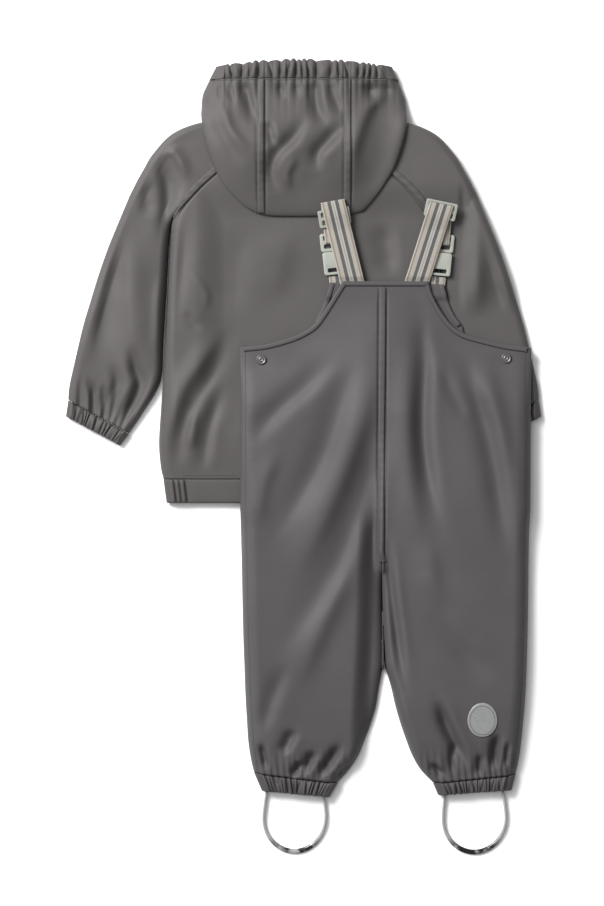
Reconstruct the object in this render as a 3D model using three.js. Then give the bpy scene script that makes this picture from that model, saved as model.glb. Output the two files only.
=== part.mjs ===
// Rain suit of a small child, laid flat: a hooded jacket seen from behind, and bib dungarees that lie
// over its lower right. Millimetres, +X to the viewer's right, +Y up the garment, +Z away from the floor.
import * as THREE from "three";

// Driving dimensions
const WALL = 1.2; // coated rain fabric with its backing
const SEAM = 0.3; // space left between neighbouring pieces
const TRIM = 0.8; // seam bands and bindings
const LAY = 0.5; // space under a trim that lies on a folded panel
const RIM = WALL + SEAM; // where a top layer comes down on its floor layer
const JACKET_FLAT = 12.4; // top of the jacket where the dungarees press on it
const JACKET_LOFT = 19.5; // top of the jacket where it lies free
const ON_JACKET = JACKET_FLAT + SEAM; // underside of the dungarees on the jacket
const HEM_TOP = -24;
const HEM_BOTTOM = -54;
const HOOD_CASING = 476.5; // stitch line of the hood's elastic edge
const BAND_WIDTH = 8;
const BINDING_WIDTH = 6.5;
const STRAP_WIDTH = 30;
const STRAP = 1.5;
const STUD_DIAMETER = 12.5;
const LOOP_DIAMETER = 4.8;
const BODY_ROUND = 18; // how far in from its folded side the jacket's back comes to its full height
const SLEEVE_ROUND = 14;
const HOOD_ROUND = 46;
const HOOD_FULLNESS = { bottom: 22.5, middle: 38, casing: 27 }; // height of the hood over the floor
const SIDE_ROUND = 20; // the same for the dungarees' sides and for the inner edges of the legs
const LEG_ROUND = 17;
const ARMHOLE_REACH = 75; // how far in from the armhole the dungarees' back comes to its full height
const PLACKET_WIDTH = 30;

const FABRIC = { color: 0x646261, roughness: 0.55, metalness: 0 };
const WEBBING = { color: 0xc8c3b9, roughness: 0.85, metalness: 0 };
const PLASTIC = { color: 0xc8cdbe, roughness: 0.4, metalness: 0 };
const STUD = { color: 0x5a5857, roughness: 0.35, metalness: 0.2 };
const CLEAR = { color: 0xb9bdbc, roughness: 0.1, metalness: 0 };
const REFLECTIVE = { color: 0xb9bcba, roughness: 0.3, metalness: 0.3 };

// Half of the jacket's width, from the hem up the side seam and then along the raglan seam to the neck
const JACKET_HALF = [
  { y: -24, x: 176 },
  { y: -10, x: 179.3 },
  { y: 15, x: 181.6 },
  { y: 39, x: 181 },
  { y: 97, x: 177 },
  { y: 150, x: 174.4 },
  { y: 215, x: 171 },
  { y: 281, x: 167.5 },
  { y: 300, x: 164.3 },
  { y: 317, x: 155 },
  { y: 341, x: 134 },
  { y: 362, x: 111 },
  { y: 385, x: 88 },
  { y: 408, x: 65 },
];
const NECK = 408;
const RAGLAN_ROWS = [290, 300, 308, 317, 328, 341, 362, 385, 408];
const JACKET_ROWS = [-24, 0, 20, 45, 75, 105, 140, 175, 210, 245, 281, ...RAGLAN_ROWS];

// Sleeve sections from the neck to the cuff: the inner seam point is the jacket's edge plus a gap
const SLEEVE_SECTIONS = [
  { innerY: 408, gap: 0.4, outerX: 76, outerY: 428 },
  { innerY: 385, gap: 0.4, outerX: 128, outerY: 423.5 },
  { innerY: 362, gap: 0.4, outerX: 165, outerY: 409 },
  { innerY: 341, gap: 0.4, outerX: 189, outerY: 384 },
  { innerY: 328, gap: 0.4, outerX: 200, outerY: 366 },
  { innerY: 317, gap: 0.4, outerX: 208, outerY: 352 },
  { innerY: 308, gap: 0.4, outerX: 213, outerY: 342 },
  { innerY: 300, gap: 0.4, outerX: 218, outerY: 332 },
  { innerY: 290, gap: 0.4, outerX: 223.5, outerY: 319 },
  { innerY: 281, gap: 0.6, outerX: 229, outerY: 306 },
  { innerY: 245, gap: 1, outerX: 245, outerY: 267 },
  { innerY: 210, gap: 1.2, outerX: 257, outerY: 233 },
  { innerY: 175, gap: 1.4, outerX: 267.5, outerY: 199 },
  { innerY: 140, gap: 1.6, outerX: 276.5, outerY: 169 },
  { innerY: 105, gap: 1.8, outerX: 284, outerY: 138 },
  { innerY: 84, gap: 8.4, outerX: 290, outerY: 112 },
  { innerY: 65, gap: 19.1, outerX: 293.5, outerY: 96 },
  { innerY: 48, gap: 29, outerX: 295, outerY: 85 },
  { innerY: 33.5, gap: 37.9, outerX: 295.5, outerY: 76 },
];

// Hood outline, from the left end of the elastic edge round the bottom to the right end
const HOOD_OUTLINE = [
  { x: -118.6, y: 476.5 },
  { x: -126.4, y: 459 },
  { x: -128.2, y: 442 },
  { x: -127.6, y: 425.5 },
  { x: -121, y: 390 },
  { x: -106, y: 354 },
  { x: -93, y: 336 },
  { x: -78, y: 321 },
  { x: -66, y: 313 },
  { x: -53, y: 308 },
  { x: -40, y: 305.5 },
  { x: -10, y: 304.8 },
  { x: 19, y: 305.2 },
  { x: 40, y: 305.8 },
  { x: 55, y: 307 },
  { x: 66, y: 309.5 },
  { x: 77, y: 314 },
  { x: 94, y: 334 },
  { x: 104, y: 349 },
  { x: 113.5, y: 364 },
  { x: 122, y: 386 },
  { x: 128, y: 410 },
  { x: 129, y: 428 },
  { x: 128, y: 451 },
  { x: 118.6, y: 476.5 },
];
const HOOD_SEAM_LEFT = -53;
const HOOD_SEAM_RIGHT = 55;

// Dungaree rows from the bib's top to the cuffs: outer edges, and the inner edge of each half
const DUNGAREE_ROWS = [
  { leftX: 49, leftY: 223.6, midLeft: 99, midRight: 99, midY: 223.6, rightX: 156.6, rightY: 223.5 },
  { leftX: 38.5, leftY: 207, midLeft: 99, midRight: 99, midY: 207, rightX: 161.4, rightY: 206 },
  { leftX: 24.6, leftY: 185, midLeft: 99, midRight: 99, midY: 188, rightX: 174, rightY: 183.5 },
  { leftX: 12.5, leftY: 169, midLeft: 99, midRight: 99, midY: 173, rightX: 187.5, rightY: 167 },
  { leftX: -5, leftY: 158, midLeft: 98.9, midRight: 98.9, midY: 161, rightX: 203, rightY: 157.5 },
  { leftX: -27, leftY: 150, midLeft: 98.8, midRight: 98.8, midY: 151, rightX: 224, rightY: 151.5 },
  { leftX: -51, leftY: 144.3, midLeft: 98.7, midRight: 98.7, midY: 142, rightX: 253.5, rightY: 144.5 },
  { leftX: -79.6, leftY: 141.4, midLeft: 98.5, midRight: 98.5, midY: 132, rightX: 285, rightY: 140.3 },
  { leftX: -79.6, leftY: 118, midLeft: 98.2, midRight: 98.2, midY: 112, rightX: 285, rightY: 118 },
  { leftX: -79.5, leftY: 86, midLeft: 97.6, midRight: 97.6, midY: 82, rightX: 284.9, rightY: 86 },
  { leftX: -79.5, leftY: 50, midLeft: 96.9, midRight: 96.9, midY: 47, rightX: 284.8, rightY: 50 },
  { leftX: -79.4, leftY: 10, midLeft: 96.3, midRight: 96.3, midY: 9, rightX: 284.6, rightY: 10 },
  { leftX: -79.4, leftY: -30, midLeft: 95.9, midRight: 95.9, midY: -30, rightX: 284.4, rightY: -30 },
  { leftX: -79.3, leftY: -58, midLeft: 96.3, midRight: 96.3, midY: -58, rightX: 284.2, rightY: -58 },
  { leftX: -79, leftY: -76, midLeft: 96.8, midRight: 96.8, midY: -76, rightX: 283.8, rightY: -76 },
  { leftX: -78.6, leftY: -96, midLeft: 97.2, midRight: 97.2, midY: -96, rightX: 283.4, rightY: -96 },
  { leftX: -78, leftY: -118, midLeft: 97.9, midRight: 97.9, midY: -120, rightX: 283, rightY: -118 },
  { leftX: -77.5, leftY: -142, midLeft: 98.2, midRight: 98.2, midY: -144, rightX: 282.7, rightY: -142 },
  { leftX: -77, leftY: -170, midLeft: 98.8, midRight: 98.8, midY: -172, rightX: 282.4, rightY: -170 },
  { leftX: -76.3, leftY: -200, midLeft: 99.4, midRight: 99.7, midY: -201, rightX: 282, rightY: -200 },
  { leftX: -75.5, leftY: -230, midLeft: 100.2, midRight: 100.8, midY: -231, rightX: 281.3, rightY: -230 },
  { leftX: -74.4, leftY: -258, midLeft: 100.2, midRight: 101.9, midY: -258, rightX: 280.6, rightY: -258 },
  { leftX: -73.5, leftY: -285, midLeft: 95, midRight: 110, midY: -286, rightX: 279.4, rightY: -285 },
  { leftX: -72.4, leftY: -308, midLeft: 91, midRight: 115.6, midY: -310, rightX: 278, rightY: -308 },
  { leftX: -71, leftY: -330, midLeft: 84.5, midRight: 122, midY: -332, rightX: 276, rightY: -330 },
  { leftX: -69.8, leftY: -350, midLeft: 76.8, midRight: 129, midY: -352, rightX: 274, rightY: -350 },
  { leftX: -67.5, leftY: -368, midLeft: 69, midRight: 136.5, midY: -371, rightX: 271.8, rightY: -368 },
  { leftX: -65, leftY: -381, midLeft: 57.5, midRight: 147, midY: -389, rightX: 269.3, rightY: -382 },
  { leftX: -62.3, leftY: -392, midLeft: 43, midRight: 162.6, midY: -405, rightX: 266.5, rightY: -394 },
];
const SIDE_SEAM_ROW = 7; // the row where the armhole ends and the side seam starts
const CROTCH_ROW = 17;

// Height of the dungarees' back over the floor, down the garment
const DUNGAREE_TOP = [
  { y: -405, z: 17 },
  { y: -350, z: 25 },
  { y: -258, z: 27 },
  { y: -140, z: 27 },
  { y: -60, z: 29 },
  { y: 60, z: 29 },
  { y: 150, z: 25 },
  { y: 224, z: 21.5 },
];
// Height of the bib's edge over the front bib: straps and tabs lie between them at the top
const BIB_RIM = [
  { y: 116, z: 1.5 },
  { y: 134, z: 2.9 },
  { y: 150, z: 3.4 },
  { y: 170, z: 4.8 },
  { y: 200, z: 6.1 },
  { y: 224, z: 7 },
];

// Main folds: a line on the garment, its half width, and its depth (negative is a trough)
const JACKET_FOLDS = [
  { x0: -114, y0: 152, x1: -143, y1: 74, width: 13, depth: 3.2 },
  { x0: -143, y0: 74, x1: -160, y1: 0, width: 8, depth: 2.6 },
  { x0: -120, y0: 60, x1: -129, y1: -4, width: 8, depth: -3 },
  { x0: -151, y0: 60, x1: -156, y1: -10, width: 5, depth: -2.2 },
  { x0: -130, y0: 260, x1: -132, y1: 190, width: 12, depth: -2 },
  { x0: 96, y0: 290, x1: 104, y1: 240, width: 12, depth: -2.5 },
];
const SLEEVE_FOLDS = [
  { x0: 184, y0: 385, x1: 176, y1: 340, width: 10, depth: -3.5 },
  { x0: 220, y0: 320, x1: 236, y1: 120, width: 12, depth: -2.2 },
  { x0: 205, y0: 250, x1: 203, y1: 110, width: 13, depth: 2.6 },
  { x0: 224, y0: 130, x1: 206, y1: 84, width: 8, depth: -3.4 },
  { x0: 256, y0: 96, x1: 258, y1: 72, width: 6, depth: -2.6 },
  { x0: 238, y0: 92, x1: 242, y1: 62, width: 6, depth: -2.4 },
];
const HOOD_FOLDS = [
  { x0: -70, y0: 470, x1: -62, y1: 412, width: 7, depth: -4 },
  { x0: -98, y0: 472, x1: -94, y1: 434, width: 6, depth: -3 },
  { x0: -26, y0: 474, x1: -22, y1: 436, width: 7, depth: -3.4 },
  { x0: 18, y0: 472, x1: 23, y1: 418, width: 8, depth: -4.4 },
  { x0: -3, y0: 420, x1: -30, y1: 372, width: 9, depth: -4.2 },
  { x0: -30, y0: 372, x1: -26, y1: 336, width: 8, depth: -2.8 },
  { x0: 44, y0: 426, x1: 20, y1: 368, width: 8, depth: -4.2 },
  { x0: -44, y0: 424, x1: -36, y1: 392, width: 6, depth: -3 },
  { x0: 78, y0: 472, x1: 84, y1: 424, width: 9, depth: -4 },
  { x0: -84, y0: 400, x1: -60, y1: 330, width: 12, depth: -1.8 },
];
const DUNGAREE_FOLDS = [
  { x0: -18, y0: 132, x1: -50, y1: 60, width: 11, depth: -3 },
  { x0: -50, y0: 60, x1: -72, y1: -4, width: 8, depth: -3.2 },
  { x0: 22, y0: 148, x1: -6, y1: 112, width: 10, depth: -2 },
  { x0: 62, y0: 134, x1: 38, y1: 30, width: 10, depth: -2.2 },
  { x0: 8, y0: -20, x1: -46, y1: -340, width: 15, depth: -2.6 },
  { x0: 64, y0: 60, x1: 40, y1: -80, width: 17, depth: 2.2 },
  { x0: 89, y0: -10, x1: 78, y1: -330, width: 15, depth: -4.2 },
  { x0: 152, y0: 186, x1: 148, y1: 50, width: 8, depth: -3.6 },
  { x0: 148, y0: 50, x1: 176, y1: -110, width: 10, depth: -2.8 },
  { x0: 198, y0: 142, x1: 236, y1: 36, width: 8, depth: -3.2 },
  { x0: 236, y0: 36, x1: 254, y1: -160, width: 10, depth: -3.6 },
  { x0: 166, y0: 110, x1: 206, y1: 24, width: 12, depth: -2 },
  { x0: 111, y0: -110, x1: 121, y1: -262, width: 7, depth: -3 },
  { x0: 168, y0: -302, x1: 203, y1: -386, width: 7, depth: -4.4 },
  { x0: 242, y0: -346, x1: 238, y1: -388, width: 7, depth: -4 },
  { x0: 160, y0: -384, x1: 178, y1: -396, width: 5, depth: -3 },
  { x0: -52, y0: -356, x1: -46, y1: -384, width: 5, depth: -3 },
  { x0: -8, y0: -336, x1: -28, y1: -372, width: 8, depth: -2.6 },
  { x0: -4, y0: -378, x1: -14, y1: -396, width: 6, depth: -3.4 },
  { x0: 16, y0: -364, x1: 0, y1: -396, width: 6, depth: -3.6 },
  { x0: 44, y0: -356, x1: 18, y1: -396, width: 7, depth: -3.6 },
];

// Tunnels of cloth round elastic. a and b are the ends of the stitched line and c and d those of the free
// edge; high and low are the heights at the two lines, round is the radius at the folded ends.
const SLEEVE_CUFF = {
  ax: 219.5, ay: 32.5, bx: 295.5, by: 75,
  cx: 230.5, cy: 18, dx: 298.6, dy: 54.8,
  high: 11, low: 10.5, round: 6, gathers: 10, puff: 1.3,
};
const LEG_CUFFS = [
  {
    side: "left",
    ax: -62, ay: -392.6, bx: 43, by: -405.6,
    cx: -52.4, cy: -415, dx: 33, dy: -423,
    high: 15.5, low: 14.5, round: 8, gathers: 14, puff: 1.4,
  },
  {
    side: "right",
    ax: 162.6, ay: -405.7, bx: 266.3, by: -394.7,
    cx: 169, cy: -420.5, dx: 261.5, dy: -414,
    high: 15.5, low: 14.5, round: 8, gathers: 15, puff: 1.4,
  },
];
// The hem is gathered only over the first stretch at its left end
const HEM = {
  ax: -176, ay: HEM_TOP - SEAM, bx: 176, by: HEM_TOP - SEAM,
  cx: -172, cy: HEM_BOTTOM, dx: 172, dy: HEM_BOTTOM,
  high: JACKET_FLAT - 0.2, low: 11, round: 7, gathers: 3, puff: 1.5, gathered: 20 / 338,
};
// The hood's tunnel bows: its free edge falls towards both ends
const HOOD_EDGE = {
  ax: -118.4, ay: 0, bx: 118.4, by: 0,
  cx: -110, cy: 0, dx: 111.5, dy: 0,
  high: 27, low: 23, round: 14, gathers: 22, puff: 1.8, top: 501.5, bow: 0.0007,
};
// Foot loops: where they leave the cuff and return to it, their lowest point, and half their width
const FOOT_LOOPS = [
  {
    side: "left",
    startX: -46.2, startY: -416.4, endX: 25.5, endY: -423,
    bottomX: -11.3, bottomY: -492, wide: 39,
  },
  {
    side: "right",
    startX: 177.4, startY: -420.7, endX: 250.4, endY: -415.8,
    bottomX: 214.6, bottomY: -493, wide: 39.5,
  },
];
// Braces: where the front run leaves the bib, where it folds over, where its return ends, and the
// heights of the adjuster and of the buckle on the return
const BRACES = [
  {
    side: "left",
    footX: 62, footY: 218, foldX: 36.6, foldY: 321,
    returnX: 42, returnY: 272, frameY: 303.5, chainY: 273.5,
  },
  {
    side: "right",
    footX: 140.5, footY: 218, foldX: 172, foldY: 317.5,
    returnX: 167.3, returnY: 270, frameY: 312.4, chainY: 272,
  },
];
// Plastic fittings and the tabs that carry them; each slot is given by its width, height and level
const ADJUSTER = {
  width: 40, height: 22, corner: 2.5, thickness: 2,
  slots: [{ width: 32, height: 6, y: 5 }, { width: 32, height: 6, y: -5 }],
};
const BUCKLE_MALE = {
  width: 42, height: 23, corner: 3, thickness: 3,
  slots: [{ width: 33, height: 5.5, y: 5.5 }, { width: 33, height: 5, y: -5 }],
};
const BUCKLE_FEMALE = {
  width: 40, height: 29, corner: 3, thickness: 5.6,
  slots: [{ width: 30, height: 5, y: -8.7 }],
};
const TAB = { width: STRAP_WIDTH, height: 24, corner: 0.6, thickness: WALL, slots: [] };
const FEMALE_BELOW = 26.4; // from the middle of the male half down to that of the female half
const TAB_BELOW = 54;
const STUDS = [
  { side: "left", x: -52.9, y: 125.6 },
  { side: "right", x: 253.5, y: 127.3 },
];
const REFLECTOR = { x: 223.3, y: -325, halfWidth: 18.7, halfHeight: 21.5 };

const clamp = (value, low, high) => Math.min(high, Math.max(low, value));

// Smooth step of a value from one level to another
function blend(from, to, value) {
  const q = clamp((value - from) / (to - from), 0, 1);
  return q * q * (3 - 2 * q);
}

// Straight interpolation in a table of rows, by a named column that rises
function lookUp(rows, key, column, at) {
  const last = rows.length - 1;
  let i = 0;
  while (i < last - 1 && rows[i + 1][key] < at) {
    i += 1;
  }
  const share = clamp((at - rows[i][key]) / (rows[i + 1][key] - rows[i][key]), 0, 1);
  return rows[i][column] + (rows[i + 1][column] - rows[i][column]) * share;
}

function distanceToLine(points, x, y) {
  let nearest = Infinity;
  for (let i = 0; i < points.length - 1; i += 1) {
    const dx = points[i + 1].x - points[i].x;
    const dy = points[i + 1].y - points[i].y;
    const t = clamp(((x - points[i].x) * dx + (y - points[i].y) * dy) / (dx * dx + dy * dy), 0, 1);
    nearest = Math.min(nearest, Math.hypot(x - points[i].x - t * dx, y - points[i].y - t * dy));
  }
  return nearest;
}

// Quarter round: 0 at an edge, 1 from the given radius inwards
function rounded(distance, radius) {
  const q = clamp(distance / radius, 0, 1);
  return Math.sqrt(1 - (1 - q) * (1 - q));
}

// Sum of the folds at a point: soft troughs and ridges that taper off at both ends
function foldDepth(folds, x, y) {
  let depth = 0;
  for (const fold of folds) {
    const dx = fold.x1 - fold.x0;
    const dy = fold.y1 - fold.y0;
    const t = ((x - fold.x0) * dx + (y - fold.y0) * dy) / (dx * dx + dy * dy);
    const near = clamp(t, 0, 1);
    const away = Math.hypot(x - fold.x0 - near * dx, y - fold.y0 - near * dy);
    depth += fold.depth * Math.exp(-((away / fold.width) ** 2));
  }
  return depth;
}

// Position along a row of the given length, closer together where it rounds off at an end
function spread(share, length, startRadius, endRadius) {
  const ends = 0.24;
  const start = Math.min(startRadius, length * 0.4);
  const end = Math.min(endRadius, length * 0.4);
  if (startRadius > 0 && share < ends) {
    return start * (1 - Math.cos((share / ends) * Math.PI * 0.5));
  }
  if (endRadius > 0 && share > 1 - ends) {
    return length - end * (1 - Math.cos(((1 - share) / ends) * Math.PI * 0.5));
  }
  const from = startRadius > 0 ? ends : 0;
  const to = endRadius > 0 ? 1 - ends : 1;
  const first = startRadius > 0 ? start : 0;
  const last = endRadius > 0 ? length - end : length;
  return first + ((last - first) * (share - from)) / (to - from);
}

const evenly = (count, from = 0, to = 1) =>
  Array.from({ length: count + 1 }, (_, i) => from + ((to - from) * i) / count);

// Unit normal of a surface map, found from two close neighbours
function normalAt(map, u, v, range) {
  const step = 1e-4;
  const u0 = map(Math.max(u - step, range.u0), v);
  const u1 = map(Math.min(u + step, range.u1), v);
  const v0 = map(u, Math.max(v - step, range.v0));
  const v1 = map(u, Math.min(v + step, range.v1));
  return u1.sub(u0).cross(v1.sub(v0)).normalize();
}

function closedGeometry(points, faces) {
  const positions = new Float32Array(points.length * 3);
  points.forEach((p, i) => p.toArray(positions, i * 3));
  let volume = 0;
  for (const [a, b, c] of faces) {
    volume += points[a].dot(points[b].clone().cross(points[c]));
  }
  const index = volume > 0 ? faces.flat() : faces.flatMap(([a, b, c]) => [a, c, b]);
  const geometry = new THREE.BufferGeometry();
  geometry.setAttribute("position", new THREE.BufferAttribute(positions, 3));
  geometry.setIndex(index);
  geometry.computeVertexNormals();
  return geometry;
}

// One wall of cloth: its outer face follows the map, its inner face lies a wall's thickness inside.
// A ring closes on itself in u; relief raises the outer face alone, such as the puffs of a gather.
function clothGeometry(map, us, vs, options = {}) {
  const { wall = WALL, ring = false, relief = null, inward = 1 } = options;
  const range = { u0: us[0], u1: us.at(-1), v0: vs[0], v1: vs.at(-1) };
  if (ring) {
    range.u0 = -Infinity;
    range.u1 = Infinity;
  }
  const nu = us.length;
  const nv = vs.length;
  const points = [];
  for (const level of [0, 1]) {
    for (const v of vs) {
      for (const u of us) {
        const p = map(u, v);
        const n = normalAt(map, u, v, range);
        const off = level === 0 ? (relief ? relief(u, v) * inward : 0) : -wall * inward;
        points.push(p.addScaledVector(n, off));
      }
    }
  }
  const at = (level, i, j) => level * nu * nv + j * nu + (i % nu);
  const faces = [];
  const quad = (a, b, c, d) => faces.push([a, b, c], [a, c, d]);
  const spans = ring ? nu : nu - 1;
  for (let j = 0; j < nv - 1; j += 1) {
    for (let i = 0; i < spans; i += 1) {
      quad(at(0, i, j), at(0, i + 1, j), at(0, i + 1, j + 1), at(0, i, j + 1));
      quad(at(1, i, j + 1), at(1, i + 1, j + 1), at(1, i + 1, j), at(1, i, j));
    }
  }
  for (let i = 0; i < spans; i += 1) {
    quad(at(1, i, 0), at(1, i + 1, 0), at(0, i + 1, 0), at(0, i, 0));
    quad(at(0, i, nv - 1), at(0, i + 1, nv - 1), at(1, i + 1, nv - 1), at(1, i, nv - 1));
  }
  if (!ring) {
    for (let j = 0; j < nv - 1; j += 1) {
      quad(at(0, 0, j), at(0, 0, j + 1), at(1, 0, j + 1), at(1, 0, j));
      quad(at(1, nu - 1, j), at(1, nu - 1, j + 1), at(0, nu - 1, j + 1), at(0, nu - 1, j));
    }
  }
  return closedGeometry(points, faces);
}

const suit = new THREE.Group();

function addPiece(name, geometry, finish) {
  const mesh = new THREE.Mesh(geometry, new THREE.MeshStandardMaterial(finish));
  mesh.name = name;
  suit.add(mesh);
  return mesh;
}

// Height of the highest facet of the named pieces at a place on the plan, or near it over a seam
function restOn(names, x, y) {
  const pieces = names.map((name) => suit.getObjectByName(name));
  const down = new THREE.Vector3(0, 0, -1);
  let highest = -Infinity;
  for (const [dx, dy] of [[0, 0], [0.6, 0], [-0.6, 0], [0, 0.6], [0, -0.6]]) {
    const ray = new THREE.Raycaster(new THREE.Vector3(x + dx, y + dy, 200), down);
    for (const hit of ray.intersectObjects(pieces, false)) {
      highest = Math.max(highest, hit.point.z);
    }
  }
  return highest;
}

// Jacket body: height of the loose top layer over the floor
const jacketHalf = (y) => lookUp(JACKET_HALF, "y", "x", y);
const jacketSide = JACKET_HALF.map((row) => ({ x: row.x, y: row.y }));
const sideFold = (y) => 1 - blend(283, 322, y);

function jacketLoft(x, y) {
  const left = 1 - blend(-136, -98, x);
  const upper = blend(300, 350, y);
  const farRight = blend(178, 230, y) * blend(197, 222, x);
  const free = Math.max(left, upper, farRight) * blend(-24, 60, y);
  return JACKET_FLAT + (JACKET_LOFT - JACKET_FLAT) * free;
}

function jacketTop(x, y) {
  const fromSide = distanceToLine(jacketSide, Math.abs(x), y);
  const side = 1 - sideFold(y) * (1 - rounded(fromSide, BODY_ROUND));
  const inside = clamp((jacketHalf(y) - Math.abs(x)) / 20, 0, 1) * blend(-24, 0, y);
  const fold = foldDepth(JACKET_FOLDS, x, y) * inside;
  return RIM + (jacketLoft(x, y) - RIM) * side + fold;
}

function buildJacketBody() {
  const back = (u, v) => {
    const half = jacketHalf(v);
    const x = -half + spread(u, 2 * half, BODY_ROUND, BODY_ROUND);
    return new THREE.Vector3(x, v, jacketTop(x, v));
  };
  addPiece("jacket_back", clothGeometry(back, evenly(20), JACKET_ROWS), FABRIC);
  for (const side of [-1, 1]) {
    const front = (u, v) => new THREE.Vector3(side * (SEAM / 2 + (jacketHalf(v) - SEAM / 2) * u), v, 0);
    const name = side < 0 ? "jacket_front_left" : "jacket_front_right";
    addPiece(name, clothGeometry(front, evenly(1), JACKET_ROWS, { inward: -side }), FABRIC);
  }
  const placketLength = NECK - HEM_TOP - 10;
  const placket = new THREE.BoxGeometry(PLACKET_WIDTH, placketLength, WALL);
  placket.translate(0, (NECK + HEM_TOP) / 2, WALL + SEAM + WALL / 2);
  addPiece("front_placket", placket, FABRIC);
}

// Edge of a flattened tube, from its top (turn 0) round to the floor (turn 1)
function edgeTurn(turn, radius, height, belly) {
  const angle = Math.PI * turn;
  const level = belly * height;
  const rise = Math.cos(angle);
  const z = rise > 0 ? level + (height - level) * rise : level * (1 + rise);
  return { out: radius * Math.sin(angle), z };
}

// Sleeve: one piece round the arm, from the back seam over the outer edge and along the floor
function sleevePoint(side, u, v) {
  const i = Math.min(Math.floor(v), SLEEVE_SECTIONS.length - 2);
  const mix = (column) => {
    const from = SLEEVE_SECTIONS[i][column];
    return from + (SLEEVE_SECTIONS[i + 1][column] - from) * (v - i);
  };
  const innerY = mix("innerY");
  const inner = new THREE.Vector2(jacketHalf(innerY) + mix("gap"), innerY);
  const outer = new THREE.Vector2(mix("outerX"), mix("outerY"));
  const width = inner.distanceTo(outer);
  const across = outer.clone().sub(inner).divideScalar(width);
  const turnRadius = Math.min(SLEEVE_ROUND, 0.42 * width);
  const flat = width - turnRadius;
  const cuffTaper = 1 - 0.3 * blend(190, 40, innerY);
  const fall = sideFold(innerY);
  const topAt = (s) => {
    const x = side * (inner.x + across.x * s);
    const y = inner.y + across.y * s;
    const loft = Math.max(RIM + (jacketLoft(x, y) - RIM) * cuffTaper, JACKET_FLAT - 0.2);
    const rise = 1 - fall * (1 - rounded(s, Math.min(16, width * 0.4)));
    const fade = clamp(s / 14, 0, 1) * clamp((flat - s) / 10, 0, 1);
    const pressed = side > 0 ? blend(178, 215, y) * blend(192, 204, x) : 1;
    return RIM + (loft - RIM) * rise + foldDepth(SLEEVE_FOLDS, Math.abs(x), y) * fade * pressed;
  };
  let s = 0;
  let z = 0;
  if (u <= 1) {
    s = spread(u, flat, SLEEVE_ROUND, 0);
    z = topAt(s);
  } else if (u <= 2) {
    const turn = edgeTurn(u - 1, turnRadius, topAt(flat), 0.4);
    s = flat + turn.out;
    z = turn.z;
  } else {
    s = flat * (3 - u);
  }
  return new THREE.Vector3(side * (inner.x + across.x * s), inner.y + across.y * s, z);
}

// Flattened tube between two lines on the floor plan: u runs over the top (0 to 1), round one edge
// (1 to 2), along the floor (2 to 3) and round the other edge (3 to 4)
function tubePoint(line, u, v) {
  const start = new THREE.Vector2(line.ax, line.ay).lerp(new THREE.Vector2(line.cx, line.cy), v);
  const end = new THREE.Vector2(line.bx, line.by).lerp(new THREE.Vector2(line.dx, line.dy), v);
  const width = start.distanceTo(end);
  const across = end.clone().sub(start).divideScalar(width);
  const height = line.high + (line.low - line.high) * v;
  const radius = line.round;
  const around = ((u % 4) + 4) % 4;
  let s = 0;
  let z = 0;
  if (around <= 1) {
    s = radius + (width - 2 * radius) * around;
    z = height;
  } else if (around <= 2) {
    const turn = edgeTurn(around - 1, radius, height, 0.45);
    s = width - radius + turn.out;
    z = turn.z;
  } else if (around <= 3) {
    s = width - radius - (width - 2 * radius) * (around - 2);
  } else {
    const turn = edgeTurn(4 - around, radius, height, 0.45);
    s = radius - turn.out;
    z = turn.z;
  }
  return new THREE.Vector3(start.x + across.x * s, start.y + across.y * s, z);
}

// Columns of a gathered tube: three to each gather over the top, few along the floor
function gatheredColumns(gathers) {
  return [
    ...evenly(gathers * 3).slice(0, -1),
    ...evenly(4, 1, 2).slice(0, -1),
    ...evenly(4, 2, 3).slice(0, -1),
    ...evenly(4, 3, 4).slice(0, -1),
  ];
}

// Puffs of a gathered edge
function gatherRelief({ gathers, puff }) {
  return (u) => {
    const around = ((u % 4) + 4) % 4;
    if (around > 1) {
      return 0;
    }
    return puff * (0.5 - 0.5 * Math.cos(2 * Math.PI * gathers * around));
  };
}

function buildSleeves() {
  const rows = evenly(SLEEVE_SECTIONS.length - 1, 0, SLEEVE_SECTIONS.length - 1);
  const columns = [...evenly(9), ...evenly(4, 1, 2).slice(1), ...evenly(2, 2, 3).slice(1)];
  for (const side of [-1, 1]) {
    const label = side < 0 ? "left" : "right";
    const wrap = (u, v) => sleevePoint(side, u, v);
    addPiece(`sleeve_${label}`, clothGeometry(wrap, columns, rows, { inward: -side }), FABRIC);
    const line = { ...SLEEVE_CUFF };
    for (const key of ["ax", "bx", "cx", "dx"]) {
      line[key] *= side;
    }
    const cuff = (u, v) => tubePoint(line, u, v);
    const options = { ring: true, relief: gatherRelief(line), inward: -side };
    const tunnel = clothGeometry(cuff, gatheredColumns(line.gathers), evenly(1), options);
    addPiece(`sleeve_cuff_${label}`, tunnel, FABRIC);
  }
}

// Hem band: a flat tube right round the jacket, gathered by elastic for its last stretch at the sides
function buildHem() {
  const { gathered, gathers, puff } = HEM;
  const hem = (u, v) => tubePoint(HEM, u, v);
  const relief = (u) => {
    const around = ((u % 4) + 4) % 4;
    if (around > gathered) {
      return 0;
    }
    return puff * (0.5 - 0.5 * Math.cos((2 * Math.PI * gathers * around) / gathered));
  };
  const us = [
    ...evenly(gathers * 4, 0, gathered).slice(0, -1),
    ...evenly(10, gathered, 1).slice(0, -1),
    ...evenly(4, 1, 2).slice(0, -1),
    ...evenly(6, 2, 3).slice(0, -1),
    ...evenly(4, 3, 4).slice(0, -1),
  ];
  const options = { ring: true, relief, inward: -1 };
  addPiece("jacket_hem", clothGeometry(hem, us, evenly(1), options), FABRIC);
}

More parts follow.
